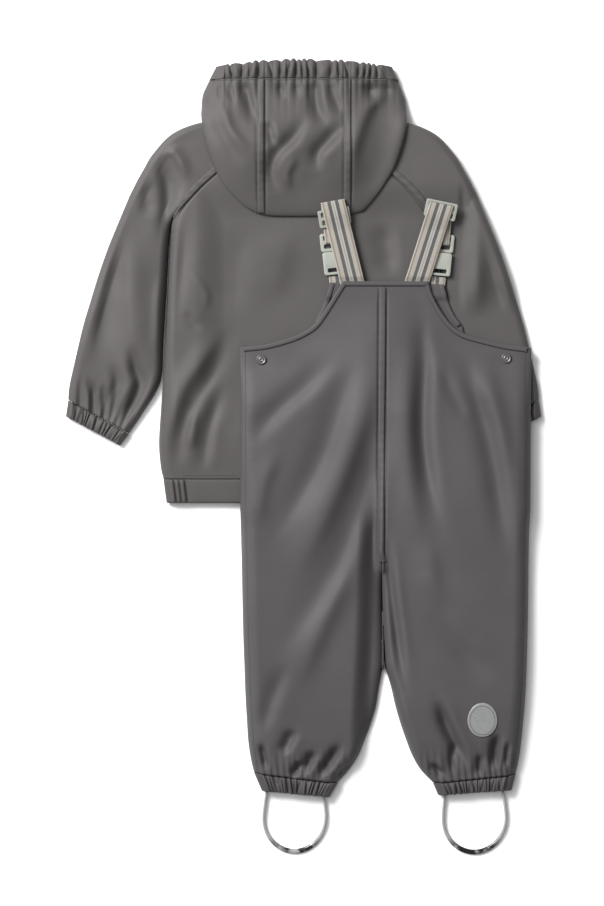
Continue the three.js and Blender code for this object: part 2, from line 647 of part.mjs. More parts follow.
// Raglan bands: raised strips along the seams between body and sleeves
function buildRaglanBands() {
  const lowest = 303;
  const highest = 398;
  for (const side of [-1, 1]) {
    const label = side < 0 ? "left" : "right";
    const carriers = ["jacket_back", `sleeve_${label}`];
    const band = (u, v) => {
      const y = lowest + (highest - lowest) * v;
      const along = new THREE.Vector2(jacketHalf(y + 1) - jacketHalf(y - 1), 2).normalize();
      const width = 3.4 + (BAND_WIDTH - 3.4) * blend(0, 0.35, v);
      const place = (share) => ({
        x: side * (jacketHalf(y) + 0.2 + along.y * (share - 0.5) * width),
        y: y - along.x * (share - 0.5) * width,
      });
      const levels = evenly(4).map((share) => restOn(carriers, place(share).x, place(share).y));
      const here = place(u);
      return new THREE.Vector3(here.x, here.y, Math.max(...levels) + LAY + TRIM);
    };
    const options = { wall: TRIM, inward: side };
    addPiece(`raglan_band_${label}`, clothGeometry(band, evenly(1), evenly(12), options), FABRIC);
  }
}

// Hood: a bag that lies on the jacket's back, with its mouth up and its throat on the floor
const hoodBase = (x, y) => 1.5 + (jacketLoft(x, y) + SEAM - 1.5) * (1 - blend(418, 448, y));
const hoodRim = (x, y) => hoodBase(x, y) + WALL + SEAM;

function hoodTop(x, y) {
  const rim = hoodRim(x, y);
  const { bottom, middle, casing } = HOOD_FULLNESS;
  const full = bottom + (middle - bottom) * blend(312, 392, y) - (middle - casing) * blend(392, 476, y);
  const rise = rounded(distanceToLine(HOOD_OUTLINE, x, y), HOOD_ROUND);
  const fade = rise ** 3 * clamp((HOOD_CASING - y) / 12, 0.25, 1);
  return rim + (full - rim) * rise + foldDepth(HOOD_FOLDS, x, y) * fade;
}

function buildHood() {
  const centreBottom = HOOD_OUTLINE.filter((p) => p.x >= HOOD_SEAM_LEFT - 1 && p.x <= HOOD_SEAM_RIGHT + 1);
  const centre = (u, v) => {
    const x = HOOD_SEAM_LEFT + SEAM / 2 + (HOOD_SEAM_RIGHT - HOOD_SEAM_LEFT - SEAM) * u;
    const bottom = lookUp(centreBottom, "x", "y", x);
    const y = bottom + spread(v, HOOD_CASING - bottom, 40, 0);
    return new THREE.Vector3(x, y, hoodTop(x, y));
  };
  addPiece("hood_centre", clothGeometry(centre, evenly(12), evenly(14)), FABRIC);
  for (const side of [-1, 1]) {
    const seam = side < 0 ? HOOD_SEAM_LEFT : HOOD_SEAM_RIGHT;
    const outline = side < 0 ? HOOD_OUTLINE.slice(0, 10).reverse() : HOOD_OUTLINE.slice(14);
    const last = outline.length - 1;
    const panel = (u, v) => {
      const share = 0.035 + 0.965 * v;
      const i = Math.min(Math.floor(share * last), last - 1);
      const mix = share * last - i;
      const edgeX = outline[i].x + (outline[i + 1].x - outline[i].x) * mix;
      const edgeY = outline[i].y + (outline[i + 1].y - outline[i].y) * mix;
      const seamY = outline[0].y + 0.4 + (HOOD_CASING - outline[0].y - 0.4) * spread(v, 1, 0.4, 0);
      const length = Math.hypot(edgeX - seam, edgeY - seamY);
      const s = spread(u, length, 0, 40) / length;
      const x = seam + side * (SEAM / 2) + (edgeX - seam - side * (SEAM / 2)) * s;
      const y = seamY + (edgeY - seamY) * s;
      return new THREE.Vector3(x, y, hoodTop(x, y));
    };
    const name = side < 0 ? "hood_side_left" : "hood_side_right";
    addPiece(name, clothGeometry(panel, evenly(10), evenly(12), { inward: side }), FABRIC);
    const bandStart = side < 0 ? 314 : 329;
    const carriers = ["hood_centre", name];
    const band = (u, v) => {
      const y = bandStart + (HOOD_CASING - 1 - bandStart) * v;
      const levels = evenly(4, -0.5, 0.5).map((off) => restOn(carriers, seam + off * BAND_WIDTH, y));
      const x = seam + (u - 0.5) * BAND_WIDTH;
      return new THREE.Vector3(x, y, Math.max(...levels) + LAY + TRIM);
    };
    const bandName = side < 0 ? "hood_band_left" : "hood_band_right";
    addPiece(bandName, clothGeometry(band, evenly(1), evenly(20), { wall: TRIM }), FABRIC);
  }
  const underRows = [
    { y: 311, left: -56, right: 60 },
    { y: 322, left: -76, right: 80 },
    { y: 340, left: -88, right: 90 },
    { y: 362, left: -88, right: 90 },
    { y: 385, left: -74, right: 74 },
    { y: 407, left: -58, right: 58 },
  ];
  const under = (u, v) => {
    const left = lookUp(underRows, "y", "left", v);
    const right = lookUp(underRows, "y", "right", v);
    const x = left + (right - left) * u;
    const ridge = Math.max(0, foldDepth(JACKET_FOLDS, x, v));
    return new THREE.Vector3(x, v, jacketLoft(x, v) + ridge + LAY + WALL);
  };
  addPiece("hood_under", clothGeometry(under, evenly(8), underRows.map((row) => row.y)), FABRIC);
  const throatRows = [
    { y: 408.4, half: 64.2 },
    { y: 428.6, half: 74.5 },
    { y: 434, half: 104 },
    { y: 445, half: 124 },
    { y: 459, half: 125.5 },
    { y: 476, half: 118 },
  ];
  const throat = (u, v) => {
    const half = lookUp(throatRows, "y", "half", v);
    return new THREE.Vector3(-half + 2 * half * u, v, WALL);
  };
  addPiece("hood_throat", clothGeometry(throat, evenly(6), throatRows.map((row) => row.y)), FABRIC);
}

// Hood edge: a gathered tunnel of elastic round the mouth, its lower half flat on the floor
function buildHoodEdge() {
  const edge = (u, v) => {
    const p = tubePoint(HOOD_EDGE, u, v);
    const end = HOOD_EDGE.top - HOOD_EDGE.bow * p.x * p.x;
    const start = HOOD_CASING + 0.5;
    return new THREE.Vector3(p.x, start + (end - start) * v, p.z);
  };
  const options = { ring: true, relief: gatherRelief(HOOD_EDGE), inward: 1 };
  const columns = gatheredColumns(HOOD_EDGE.gathers);
  addPiece("hood_edge", clothGeometry(edge, columns, evenly(1), options), FABRIC);
}

// Dungarees: height of the back over the floor
const leftEdge = DUNGAREE_ROWS.map((row) => ({ x: row.leftX, y: row.leftY }));
const rightEdge = DUNGAREE_ROWS.map((row) => ({ x: row.rightX, y: row.rightY }));
const leftSide = leftEdge.slice(SIDE_SEAM_ROW);
const rightSide = rightEdge.slice(SIDE_SEAM_ROW);
const leftArmhole = leftEdge.slice(0, SIDE_SEAM_ROW + 1);
const rightArmhole = rightEdge.slice(0, SIDE_SEAM_ROW + 1);
const bibEdge = [...leftArmhole.slice().reverse(), ...rightArmhole];
const leftInner = DUNGAREE_ROWS.slice(CROTCH_ROW).map((row) => ({ x: row.midLeft, y: row.midY }));
const rightInner = DUNGAREE_ROWS.slice(CROTCH_ROW).map((row) => ({ x: row.midRight, y: row.midY }));

const dungareeBase = (y) => ON_JACKET * blend(-96, -58, y);

function dungareeTop(x, y) {
  const edge = dungareeBase(y) + lookUp(BIB_RIM, "y", "z", y);
  const full = lookUp(DUNGAREE_TOP, "y", "z", y);
  const fromSide = Math.min(distanceToLine(leftSide, x, y), distanceToLine(rightSide, x, y));
  const side = rounded(fromSide, SIDE_ROUND);
  const innerLine = x < 99 ? leftInner : rightInner;
  const legs = 1 - blend(-120, -168, y) * (1 - rounded(distanceToLine(innerLine, x, y), LEG_ROUND));
  const fromArmhole = distanceToLine(bibEdge, x, y);
  const bib = 0.15 + 0.85 * blend(0, ARMHOLE_REACH, fromArmhole);
  const cuffFade = clamp((y + 412) / 14, 0.3, 1);
  const fade = side ** 2 * legs ** 2 * blend(0, 40, fromArmhole) * cuffFade;
  return edge + (full - edge) * side * legs * bib + foldDepth(DUNGAREE_FOLDS, x, y) * fade;
}

function dungareeRow(v, half) {
  const i = Math.min(Math.floor(v), DUNGAREE_ROWS.length - 2);
  const mix = (column) => {
    const from = DUNGAREE_ROWS[i][column];
    return from + (DUNGAREE_ROWS[i + 1][column] - from) * (v - i);
  };
  const left = half < 0;
  return {
    outer: new THREE.Vector2(mix(left ? "leftX" : "rightX"), mix(left ? "leftY" : "rightY")),
    inner: new THREE.Vector2(mix(left ? "midLeft" : "midRight") + half * (SEAM / 2), mix("midY")),
  };
}

function buildDungareePanels() {
  const rows = evenly(DUNGAREE_ROWS.length - 1, 0, DUNGAREE_ROWS.length - 1);
  const frontBib = [
    { left: 33, leftY: 222, right: 176, rightY: 219.5 },
    { left: 27.6, leftY: 203.5, right: 181, rightY: 199 },
    { left: 20.8, leftY: 186, right: 190, rightY: 180 },
    { left: 12.3, leftY: 169.5, right: 199, rightY: 168 },
  ];
  for (const half of [-1, 1]) {
    const label = half < 0 ? "left" : "right";
    const back = (u, v) => {
      const { outer, inner } = dungareeRow(v, half);
      const length = outer.distanceTo(inner);
      const p = outer.lerp(inner, spread(u, length, SIDE_ROUND - 1, LEG_ROUND - 1) / length);
      return new THREE.Vector3(p.x, p.y, dungareeTop(p.x, p.y));
    };
    const name = `dungaree_back_${label}`;
    addPiece(name, clothGeometry(back, evenly(12), rows, { inward: half }), FABRIC);
    const front = (u, v) => {
      const { outer, inner } = dungareeRow(v, half);
      const i = Math.floor(v);
      if (i < frontBib.length) {
        const here = frontBib[i];
        outer.set(half < 0 ? here.left : here.right, half < 0 ? here.leftY : here.rightY);
      }
      const p = outer.lerp(inner, u);
      return new THREE.Vector3(p.x, p.y, dungareeBase(p.y));
    };
    const sheet = clothGeometry(front, evenly(1), rows, { inward: -half });
    addPiece(`dungaree_front_${label}`, sheet, FABRIC);
  }
}

// Strip that lies on a surface along a path, from the path's own line inwards
function stripGeometry(path, width, heightAt, inward) {
  const rows = evenly(path.length - 1, 0, path.length - 1);
  const strip = (u, v) => {
    const i = Math.min(Math.floor(v), path.length - 2);
    const from = path[i];
    const to = path[i + 1];
    const mix = (key) => from[key] + (to[key] - from[key]) * (v - i);
    const x = mix("x") + mix("inX") * width * u;
    const y = mix("y") + mix("inY") * width * u;
    return new THREE.Vector3(x, y, heightAt(x, y) + LAY + TRIM);
  };
  return clothGeometry(strip, evenly(2), rows, { wall: TRIM, inward });
}

// Directions square to a path, mitred at its corners, on the side given by the sign
function withInwards(points, sign) {
  return points.map((p, i) => {
    const before = points[Math.max(i - 1, 0)];
    const after = points[Math.min(i + 1, points.length - 1)];
    const a = new THREE.Vector2(p.x - before.x, p.y - before.y).normalize();
    const b = new THREE.Vector2(after.x - p.x, after.y - p.y).normalize();
    const along = a.add(b).normalize();
    const mitre = 1 / Math.max(0.75, Math.abs(b.length() > 0 ? along.dot(b) : 1));
    return { ...p, inX: along.y * sign * mitre, inY: -along.x * sign * mitre };
  });
}

function buildDungareeTrim() {
  const backs = ["dungaree_back_left", "dungaree_back_right"];
  const onBacks = (x, y) => restOn(backs, x, y);
  const mid = DUNGAREE_ROWS.map((row) => ({ y: -row.midY, x: row.midLeft }));
  const bandTop = 216;
  const bandEnd = -128;
  const band = (u, v) => {
    const y = bandTop + (bandEnd - bandTop) * v;
    const centre = lookUp(mid, "y", "x", -y);
    const levels = evenly(4, -0.5, 0.5).map((off) => onBacks(centre + off * BAND_WIDTH, y));
    return new THREE.Vector3(centre + (u - 0.5) * BAND_WIDTH, y, Math.max(...levels) + LAY + TRIM);
  };
  const bandOptions = { wall: TRIM, inward: -1 };
  addPiece("dungaree_centre_band", clothGeometry(band, evenly(1), evenly(30), bandOptions), FABRIC);

  const inside = 4;
  const backPath = bibEdge.map((p) => ({ ...p }));
  backPath[0].x += inside;
  backPath.at(-1).x -= inside;
  const backBinding = stripGeometry(withInwards(backPath, 1), BINDING_WIDTH, onBacks, 1);
  addPiece("bib_binding_back", backBinding, FABRIC);

  const frontLevel = () => ON_JACKET + WALL;
  const frontLeft = [{ x: 27.9, y: 204 }, { x: 20.8, y: 186 }, { x: 13.5, y: 171.8 }];
  const frontRight = [{ x: 180.8, y: 200 }, { x: 190, y: 180 }, { x: 197.5, y: 170 }];
  const left = stripGeometry(withInwards(frontLeft, -1), BINDING_WIDTH, frontLevel, -1);
  const right = stripGeometry(withInwards(frontRight, 1), BINDING_WIDTH, frontLevel, 1);
  addPiece("bib_binding_front_left", left, FABRIC);
  addPiece("bib_binding_front_right", right, FABRIC);

  for (const cuff of LEG_CUFFS) {
    const ring = (u, v) => tubePoint(cuff, u, v);
    const options = { ring: true, relief: gatherRelief(cuff), inward: -1 };
    const columns = gatheredColumns(cuff.gathers);
    addPiece(`leg_cuff_${cuff.side}`, clothGeometry(ring, columns, evenly(1), options), FABRIC);
  }

  for (const loop of FOOT_LOOPS) {
    const radius = LOOP_DIAMETER / 2;
    const shoulderY = loop.bottomY + loop.wide + 4;
    const flareLeft = (loop.startX + loop.bottomX - loop.wide) / 2;
    const flareRight = (loop.endX + loop.bottomX + loop.wide) / 2;
    const points = [
      new THREE.Vector3(loop.startX, loop.startY, radius),
      new THREE.Vector3(flareLeft, (loop.startY + shoulderY) / 2 + 4, radius),
    ];
    for (const angle of evenly(10, Math.PI, 2 * Math.PI)) {
      const x = loop.bottomX + loop.wide * Math.cos(angle);
      points.push(new THREE.Vector3(x, shoulderY + (shoulderY - loop.bottomY) * Math.sin(angle), radius));
    }
    points.push(new THREE.Vector3(flareRight, (loop.endY + shoulderY) / 2 + 4, radius));
    points.push(new THREE.Vector3(loop.endX, loop.endY, radius));
    const section = new THREE.Shape().absarc(0, 0, radius, 0, 2 * Math.PI, false);
    const path = new THREE.CatmullRomCurve3(points);
    const tube = new THREE.ExtrudeGeometry(section, { steps: 26, curveSegments: 5, extrudePath: path });
    addPiece(`foot_loop_${loop.side}`, tube, CLEAR);
  }

  for (const stud of STUDS) {
    const radius = STUD_DIAMETER / 2;
    const profile = [
      new THREE.Vector2(0, 0),
      new THREE.Vector2(radius, 0),
      new THREE.Vector2(radius, 1),
      new THREE.Vector2(radius - 1.2, 1.8),
      new THREE.Vector2(radius - 3, 1.2),
      new THREE.Vector2(2, 1.8),
      new THREE.Vector2(0, 1.4),
    ];
    const cap = new THREE.LatheGeometry(profile, 14);
    cap.rotateX(Math.PI / 2);
    const rimLevels = evenly(12, 0, 2 * Math.PI).map((angle) =>
      onBacks(stud.x + radius * Math.cos(angle), stud.y + radius * Math.sin(angle)));
    const mesh = addPiece(`press_stud_${stud.side}`, cap, STUD);
    mesh.position.set(stud.x, stud.y, Math.max(...rimLevels, onBacks(stud.x, stud.y)) + SEAM);
  }

  const disc = (u, v) => {
    const x = REFLECTOR.x + REFLECTOR.halfWidth * u * Math.sqrt(1 - (v * v) / 2);
    const y = REFLECTOR.y + REFLECTOR.halfHeight * v * Math.sqrt(1 - (u * u) / 2);
    return new THREE.Vector3(x, y, onBacks(x, y) + LAY + TRIM);
  };
  const squares = evenly(7, -1, 1);
  addPiece("reflector", clothGeometry(disc, squares, squares, { wall: TRIM }), REFLECTIVE);
}

// Braces: an elastic strap runs up from the back bib, folds over and returns under itself to its buckle
const FRONT_RUN = [
  { y: 218, z: 15.7 },
  { y: 224.4, z: 15.7 },
  { y: 228.6, z: 19.4 },
  { y: 241, z: 19.8 },
  { y: 288, z: 20.2 },
  { y: 321, z: 27.6 },
];
const RETURN_RUN = [
  { y: 266, z: 16.2 },
  { y: 287, z: 16.2 },
  { y: 294, z: 16.6 },
  { y: 321, z: 23 },
];

// The strap's rows in order: centre, height of its outer face, and the direction across it. The
// fold lies square to the mean of the two runs, as a folded strap does.
function strapPath(brace) {
  const up = new THREE.Vector2(brace.foldX - brace.footX, brace.foldY - brace.footY);
  const down = new THREE.Vector2(brace.returnX - brace.foldX, brace.returnY - brace.foldY);
  const front = up.clone().normalize();
  const back = down.clone().normalize().negate();
  const fold = front.clone().add(back).normalize();
  const rows = [];
  for (const level of [0, 5, 8, 11, 16, 23, 46, 70, 86]) {
    const share = level / up.y;
    const x = brace.footX + up.x * share;
    rows.push({ x, y: brace.footY + level, z: 0, own: 1, wx: front.y, wy: -front.x });
  }
  const top = lookUp(FRONT_RUN, "y", "z", brace.foldY) + STRAP;
  const low = lookUp(RETURN_RUN, "y", "z", brace.foldY);
  const radius = (top - low) / 2;
  const foldReach = 0.8;
  for (const angle of evenly(6, 0, Math.PI)) {
    const out = radius * Math.sin(angle) * foldReach;
    rows.push({
      x: brace.foldX + fold.x * out,
      y: brace.foldY + fold.y * out,
      z: low + radius + radius * Math.cos(angle),
      own: 0,
      wx: fold.y,
      wy: -fold.x,
    });
  }
  for (const share of evenly(4).slice(1)) {
    const y = brace.foldY + down.y * share;
    const z = lookUp(RETURN_RUN, "y", "z", y);
    rows.push({ x: brace.foldX + down.x * share, y, z, own: 0, wx: back.y, wy: -back.x });
  }
  return rows;
}

function roundedRectangle(width, height, radius) {
  const shape = new THREE.Shape();
  shape.moveTo(-width / 2 + radius, -height / 2);
  shape.lineTo(width / 2 - radius, -height / 2);
  shape.absarc(width / 2 - radius, -height / 2 + radius, radius, -Math.PI / 2, 0, false);
  shape.lineTo(width / 2, height / 2 - radius);
  shape.absarc(width / 2 - radius, height / 2 - radius, radius, 0, Math.PI / 2, false);
  shape.lineTo(-width / 2 + radius, height / 2);
  shape.absarc(-width / 2 + radius, height / 2 - radius, radius, Math.PI / 2, Math.PI, false);
  shape.lineTo(-width / 2, -height / 2 + radius);
  shape.absarc(-width / 2 + radius, -height / 2 + radius, radius, Math.PI, 1.5 * Math.PI, false);
  return shape;
}

// Flat moulding or tab with its slots cut through
function fitting({ width, height, corner, thickness, slots }) {
  const shape = roundedRectangle(width, height, corner);
  for (const slot of slots) {
    const hole = new THREE.Path();
    hole.moveTo(-slot.width / 2, slot.y - slot.height / 2);
    hole.lineTo(-slot.width / 2, slot.y + slot.height / 2);
    hole.lineTo(slot.width / 2, slot.y + slot.height / 2);
    hole.lineTo(slot.width / 2, slot.y - slot.height / 2);
    hole.closePath();
    shape.holes.push(hole);
  }
  return new THREE.ExtrudeGeometry(shape, { depth: thickness, bevelEnabled: false, curveSegments: 3 });
}

function buildBraces() {
  for (const brace of BRACES) {
    const path = strapPath(brace);
    const strap = (u, v) => {
      const i = Math.min(Math.floor(v), path.length - 2);
      const mix = (key) => path[i][key] + (path[i + 1][key] - path[i][key]) * (v - i);
      const off = (u - 0.5) * STRAP_WIDTH;
      const y = mix("y") + mix("wy") * off;
      const levelAt = (row) => (row.own ? lookUp(FRONT_RUN, "y", "z", y) + STRAP : row.z);
      const z = levelAt(path[i]) + (levelAt(path[i + 1]) - levelAt(path[i])) * (v - i);
      return new THREE.Vector3(mix("x") + mix("wx") * off, y, z);
    };
    const rows = evenly(path.length - 1, 0, path.length - 1);
    const options = { wall: STRAP };
    addPiece(`brace_${brace.side}`, clothGeometry(strap, evenly(2), rows, options), WEBBING);

    const frame = addPiece(`strap_adjuster_${brace.side}`, fitting(ADJUSTER), PLASTIC);
    const slope = Math.atan2(RETURN_RUN[3].z - RETURN_RUN[2].z, RETURN_RUN[3].y - RETURN_RUN[2].y);
    const share = (brace.frameY - brace.returnY) / (brace.foldY - brace.returnY);
    const frameX = brace.returnX + (brace.foldX - brace.returnX) * share;
    const lean = (brace.returnX - brace.foldX) / (brace.foldY - brace.returnY);
    const frontLean = (brace.footX - brace.foldX) / (brace.foldY - brace.footY);
    const foldTurn = (Math.atan(lean) + Math.atan(frontLean)) / 2;
    const clear = 0.68;
    const frameZ = lookUp(RETURN_RUN, "y", "z", brace.frameY) + STRAP + clear;
    frame.rotation.set(slope, 0, foldTurn, "ZXY");
    frame.position.set(frameX, brace.frameY, frameZ);

    const chain = [
      { name: "buckle_male", form: BUCKLE_MALE, finish: PLASTIC, below: 0, z: ON_JACKET + 0.1 },
      {
        name: "buckle_female", form: BUCKLE_FEMALE, finish: PLASTIC,
        below: FEMALE_BELOW, z: ON_JACKET + 0.1,
      },
      { name: "strap_tab", form: TAB, finish: WEBBING, below: TAB_BELOW, z: ON_JACKET + WALL + SEAM },
    ];
    for (const { name, form, finish, below, z } of chain) {
      const mesh = addPiece(`${name}_${brace.side}`, fitting(form), finish);
      const y = brace.chainY - below;
      mesh.rotation.z = Math.atan(lean);
      mesh.position.set(brace.foldX + lean * (brace.foldY - y), y, z);
    }
  }
}

buildJacketBody();
buildSleeves();
buildHem();
buildRaglanBands();
buildHood();
buildHoodEdge();
buildDungareePanels();
buildDungareeTrim();
buildBraces();

export default suit;
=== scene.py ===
"""Rain suit of a small child laid flat: a hooded jacket seen from behind, with bib dungarees over its
lower right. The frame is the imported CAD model; plan sizes are in millimetres until a mesh is made."""

import bmesh
import bpy
import numpy as np
from mathutils import Matrix, Vector


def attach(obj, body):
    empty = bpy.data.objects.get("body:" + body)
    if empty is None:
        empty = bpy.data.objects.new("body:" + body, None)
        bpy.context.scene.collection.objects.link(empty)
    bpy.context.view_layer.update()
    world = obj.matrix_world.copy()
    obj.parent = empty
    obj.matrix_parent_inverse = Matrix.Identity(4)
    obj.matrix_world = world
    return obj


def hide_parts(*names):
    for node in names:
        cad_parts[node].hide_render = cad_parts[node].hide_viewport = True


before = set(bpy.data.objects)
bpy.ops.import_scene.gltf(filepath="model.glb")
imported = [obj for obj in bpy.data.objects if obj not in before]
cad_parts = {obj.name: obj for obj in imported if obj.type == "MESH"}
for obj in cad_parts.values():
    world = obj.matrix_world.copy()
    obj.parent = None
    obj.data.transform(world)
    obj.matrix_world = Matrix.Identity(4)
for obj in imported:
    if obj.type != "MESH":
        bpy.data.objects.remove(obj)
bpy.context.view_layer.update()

# ---------------------------------------------------------------------------------------------------
# Jacket back and fronts. The jacket is cut from polyester coated with matt polyurethane, and its back
# is one panel from hem to neck with slanting raglan edges. It lies on its two closed fronts.

WALL = 1.2
SEAM = 0.3
RIM = WALL + SEAM
PRESSED = 12.4  # top of the jacket under the dungarees
LOFT = 19.5  # top of the jacket where it lies free
NECK = 408
HEM_TOP = -24

# Half width of the body at each height, up the side seam and along the raglan seam: (y, x)
BODY_HALF = [
    (-24, 176), (-10, 179.3), (15, 181.6), (39, 181), (97, 177), (150, 174.4), (215, 171),
    (281, 167.5), (300, 164.3), (317, 155), (341, 134), (362, 111), (385, 88), (408, 65),
]

# Folds of the jacket: path over the plan, half width, height (a trough is below 0)
BODY_FOLDS = [
    ([(-100, 178), (-112, 152), (-130, 122), (-154, 84), (-168, 20)], 12, 4.8),
    ([(-96, 150), (-116, 106), (-136, 74), (-153, 30), (-158, -22)], 10, -4.6),
    ([(-134, 70), (-138, 44), (-142, 8)], 7, 3),
    ([(-104, 96), (-112, 64), (-121, 30), (-127, -22)], 9, -4.8),
    ([(-168, 150), (-172, 90), (-174, 20)], 6, -3.4),
    ([(-150, 300), (-155, 246), (-161, 200), (-160, 160)], 13, -3.4),
    ([(-146, 236), (-128, 220), (-121, 204), (-125, 184)], 5, 1.3),
    ([(-150, 188), (-136, 170), (-124, 166)], 6, -1.8),
    ([(-70, 300), (-84, 250), (-92, 170)], 20, -2.6),
    ([(-20, 300), (-30, 250), (-48, 190)], 20, 2.4),
    ([(96, 300), (104, 264), (108, 226)], 14, -4.5),
]


def ramp(low, high, at):
    q = np.clip((at - low) / (high - low), 0, 1)
    return q * q * (3 - 2 * q)


def along(values, at, corners=()):
    """Smooth curve through a table's column, at a place counted in rows. Corners stay sharp."""
    values = np.asarray(values, float)
    slope = np.gradient(values)
    i = np.clip(np.floor(at).astype(int), 0, len(values) - 2)
    t = at - i
    step = values[i + 1] - values[i]
    start, end = slope[i], slope[i + 1]
    for corner in corners:
        start = np.where(i == corner, step, start)
        end = np.where(i + 1 == corner, step, end)
    bend = (2 * t**3 - 3 * t**2 + 1) * values[i] + (3 * t**2 - 2 * t**3) * values[i + 1]
    return bend + (t**3 - 2 * t**2 + t) * start + (t**3 - t**2) * end


def far(line, x, y):
    """Distance on the plan from a line of points."""
    nearest = np.full(np.shape(x), 1e9)
    for (ax, ay), (bx, by) in zip(line[:-1], line[1:]):
        dx, dy = bx - ax, by - ay
        t = np.clip(((x - ax) * dx + (y - ay) * dy) / (dx * dx + dy * dy + 1e-9), 0, 1)
        nearest = np.minimum(nearest, np.hypot(x - ax - t * dx, y - ay - t * dy))
    return nearest


def rounded(distance, radius):
    q = np.clip(distance / radius, 0, 1)
    return np.sqrt(1 - (1 - q) ** 2)


def creases(table, x, y):
    """Sum of soft folds. Each fades out at its ends, is steeper on one side, and has a faint lip."""
    height = np.zeros(np.shape(x))
    for points, width, depth in table:
        at = np.linspace(0, len(points) - 1, 5 * len(points))
        path = list(zip(*(along(values, at) for values in zip(*points))))
        steps = [np.hypot(b[0] - a[0], b[1] - a[1]) for a, b in zip(path[:-1], path[1:])]
        nearest = np.full(np.shape(x), 1e9)
        place = np.zeros(np.shape(x))
        across = np.zeros(np.shape(x))
        done = 0
        for (ax, ay), (bx, by), step in zip(path[:-1], path[1:], steps):
            dx, dy = bx - ax, by - ay
            t = np.clip(((x - ax) * dx + (y - ay) * dy) / step**2, 0, 1)
            away = np.hypot(x - ax - t * dx, y - ay - t * dy)
            closer = away < nearest
            nearest = np.where(closer, away, nearest)
            place = np.where(closer, (done + t * step) / sum(steps), place)
            across = np.where(closer, ((x - ax) * dy - (y - ay) * dx) / step, across)
            done += step
        side = across / (nearest + 2)
        taper = 0.06 + 0.94 * ramp(0, 0.36, place) * ramp(0, 0.36, 1 - place)
        height += depth * taper * np.exp(-((nearest / (width * (1 + 0.22 * side))) ** 2))
        lip = np.exp(-(((across + 1.9 * width) / (1.1 * width)) ** 2) - (nearest / (2.6 * width)) ** 2)
        height -= 0.22 * depth * taper * lip
    return height


def swell(x, y, size, seed):
    """Uneven swell of laid cloth: crossed waves of about the given length, from -1 to 1."""
    draw = np.random.default_rng(seed)
    total = np.zeros(np.shape(x))
    for _ in range(7):
        turn, phase = draw.uniform(0, np.pi), draw.uniform(0, 2 * np.pi)
        length = size * draw.uniform(0.7, 1.7)
        total += np.sin((x * np.cos(turn) + y * np.sin(turn)) * 2 * np.pi / length + phase)
    return total / 7


def pucker(distance, place, pitch, reach):
    """Small puckers that a seam draws into the cloth on both sides of it."""
    wave = np.sin(2 * np.pi * place / pitch + 1.7 * np.sin(place / (2.3 * pitch)))
    return wave * np.exp(-np.abs(distance) / reach)


def groove(distance, half):
    """Narrow press marks on both sides of a band of the given half width."""
    return np.exp(-(((np.abs(distance) - half) / 1.3) ** 2))


body_rows = np.linspace(0, len(BODY_HALF) - 1, 300)
body_y = along([row[0] for row in BODY_HALF], body_rows)
body_x = along([row[1] for row in BODY_HALF], body_rows)
body_edge = list(zip(body_x[::6], body_y[::6]))


def body_half(y):
    return np.interp(y, body_y, body_x)


def side_fold(y):
    return 1 - ramp(283, 322, y)


def body_loft(x, y):
    left = 1 - ramp(-136, -98, x)
    far_right = ramp(178, 230, y) * ramp(197, 222, x)
    free = np.maximum(np.maximum(left, ramp(300, 350, y)), far_right) * ramp(-24, 60, y)
    return PRESSED + (LOFT - PRESSED) * free


def body_top(x, y):
    edge = far(body_edge, np.abs(x), y)
    side = 1 - side_fold(y) * (1 - rounded(edge, 13))
    inside = np.clip((body_half(y) - np.abs(x)) / 20, 0, 1) * ramp(-24, 0, y)
    bare = 1 - 0.92 * ramp(-84, -70, x) * (1 - ramp(135, 190, y))
    detail = creases(BODY_FOLDS, x, y) + 1.2 * swell(x, y, 110, 3) + 0.2 * swell(x, y, 38, 4)
    # The cloth stays flat beneath the braces and their buckles
    below = np.maximum(ramp(58, 22, np.abs(x - 47)), ramp(58, 22, np.abs(x - 160)))
    below = below * ramp(170, 206, y) * ramp(372, 324, y)
    detail = detail - below * np.maximum(detail - 0.1, 0)
    seam = 0.22 * pucker(body_half(y) - np.abs(x), y, 9, 5) * ramp(-24, 0, y)
    seam = seam - 1.3 * groove((body_half(y) - np.abs(x)) * 0.72, 4.6) * ramp(300, 316, y)
    return RIM + (body_loft(x, y) - RIM) * side + detail * inside * bare + seam


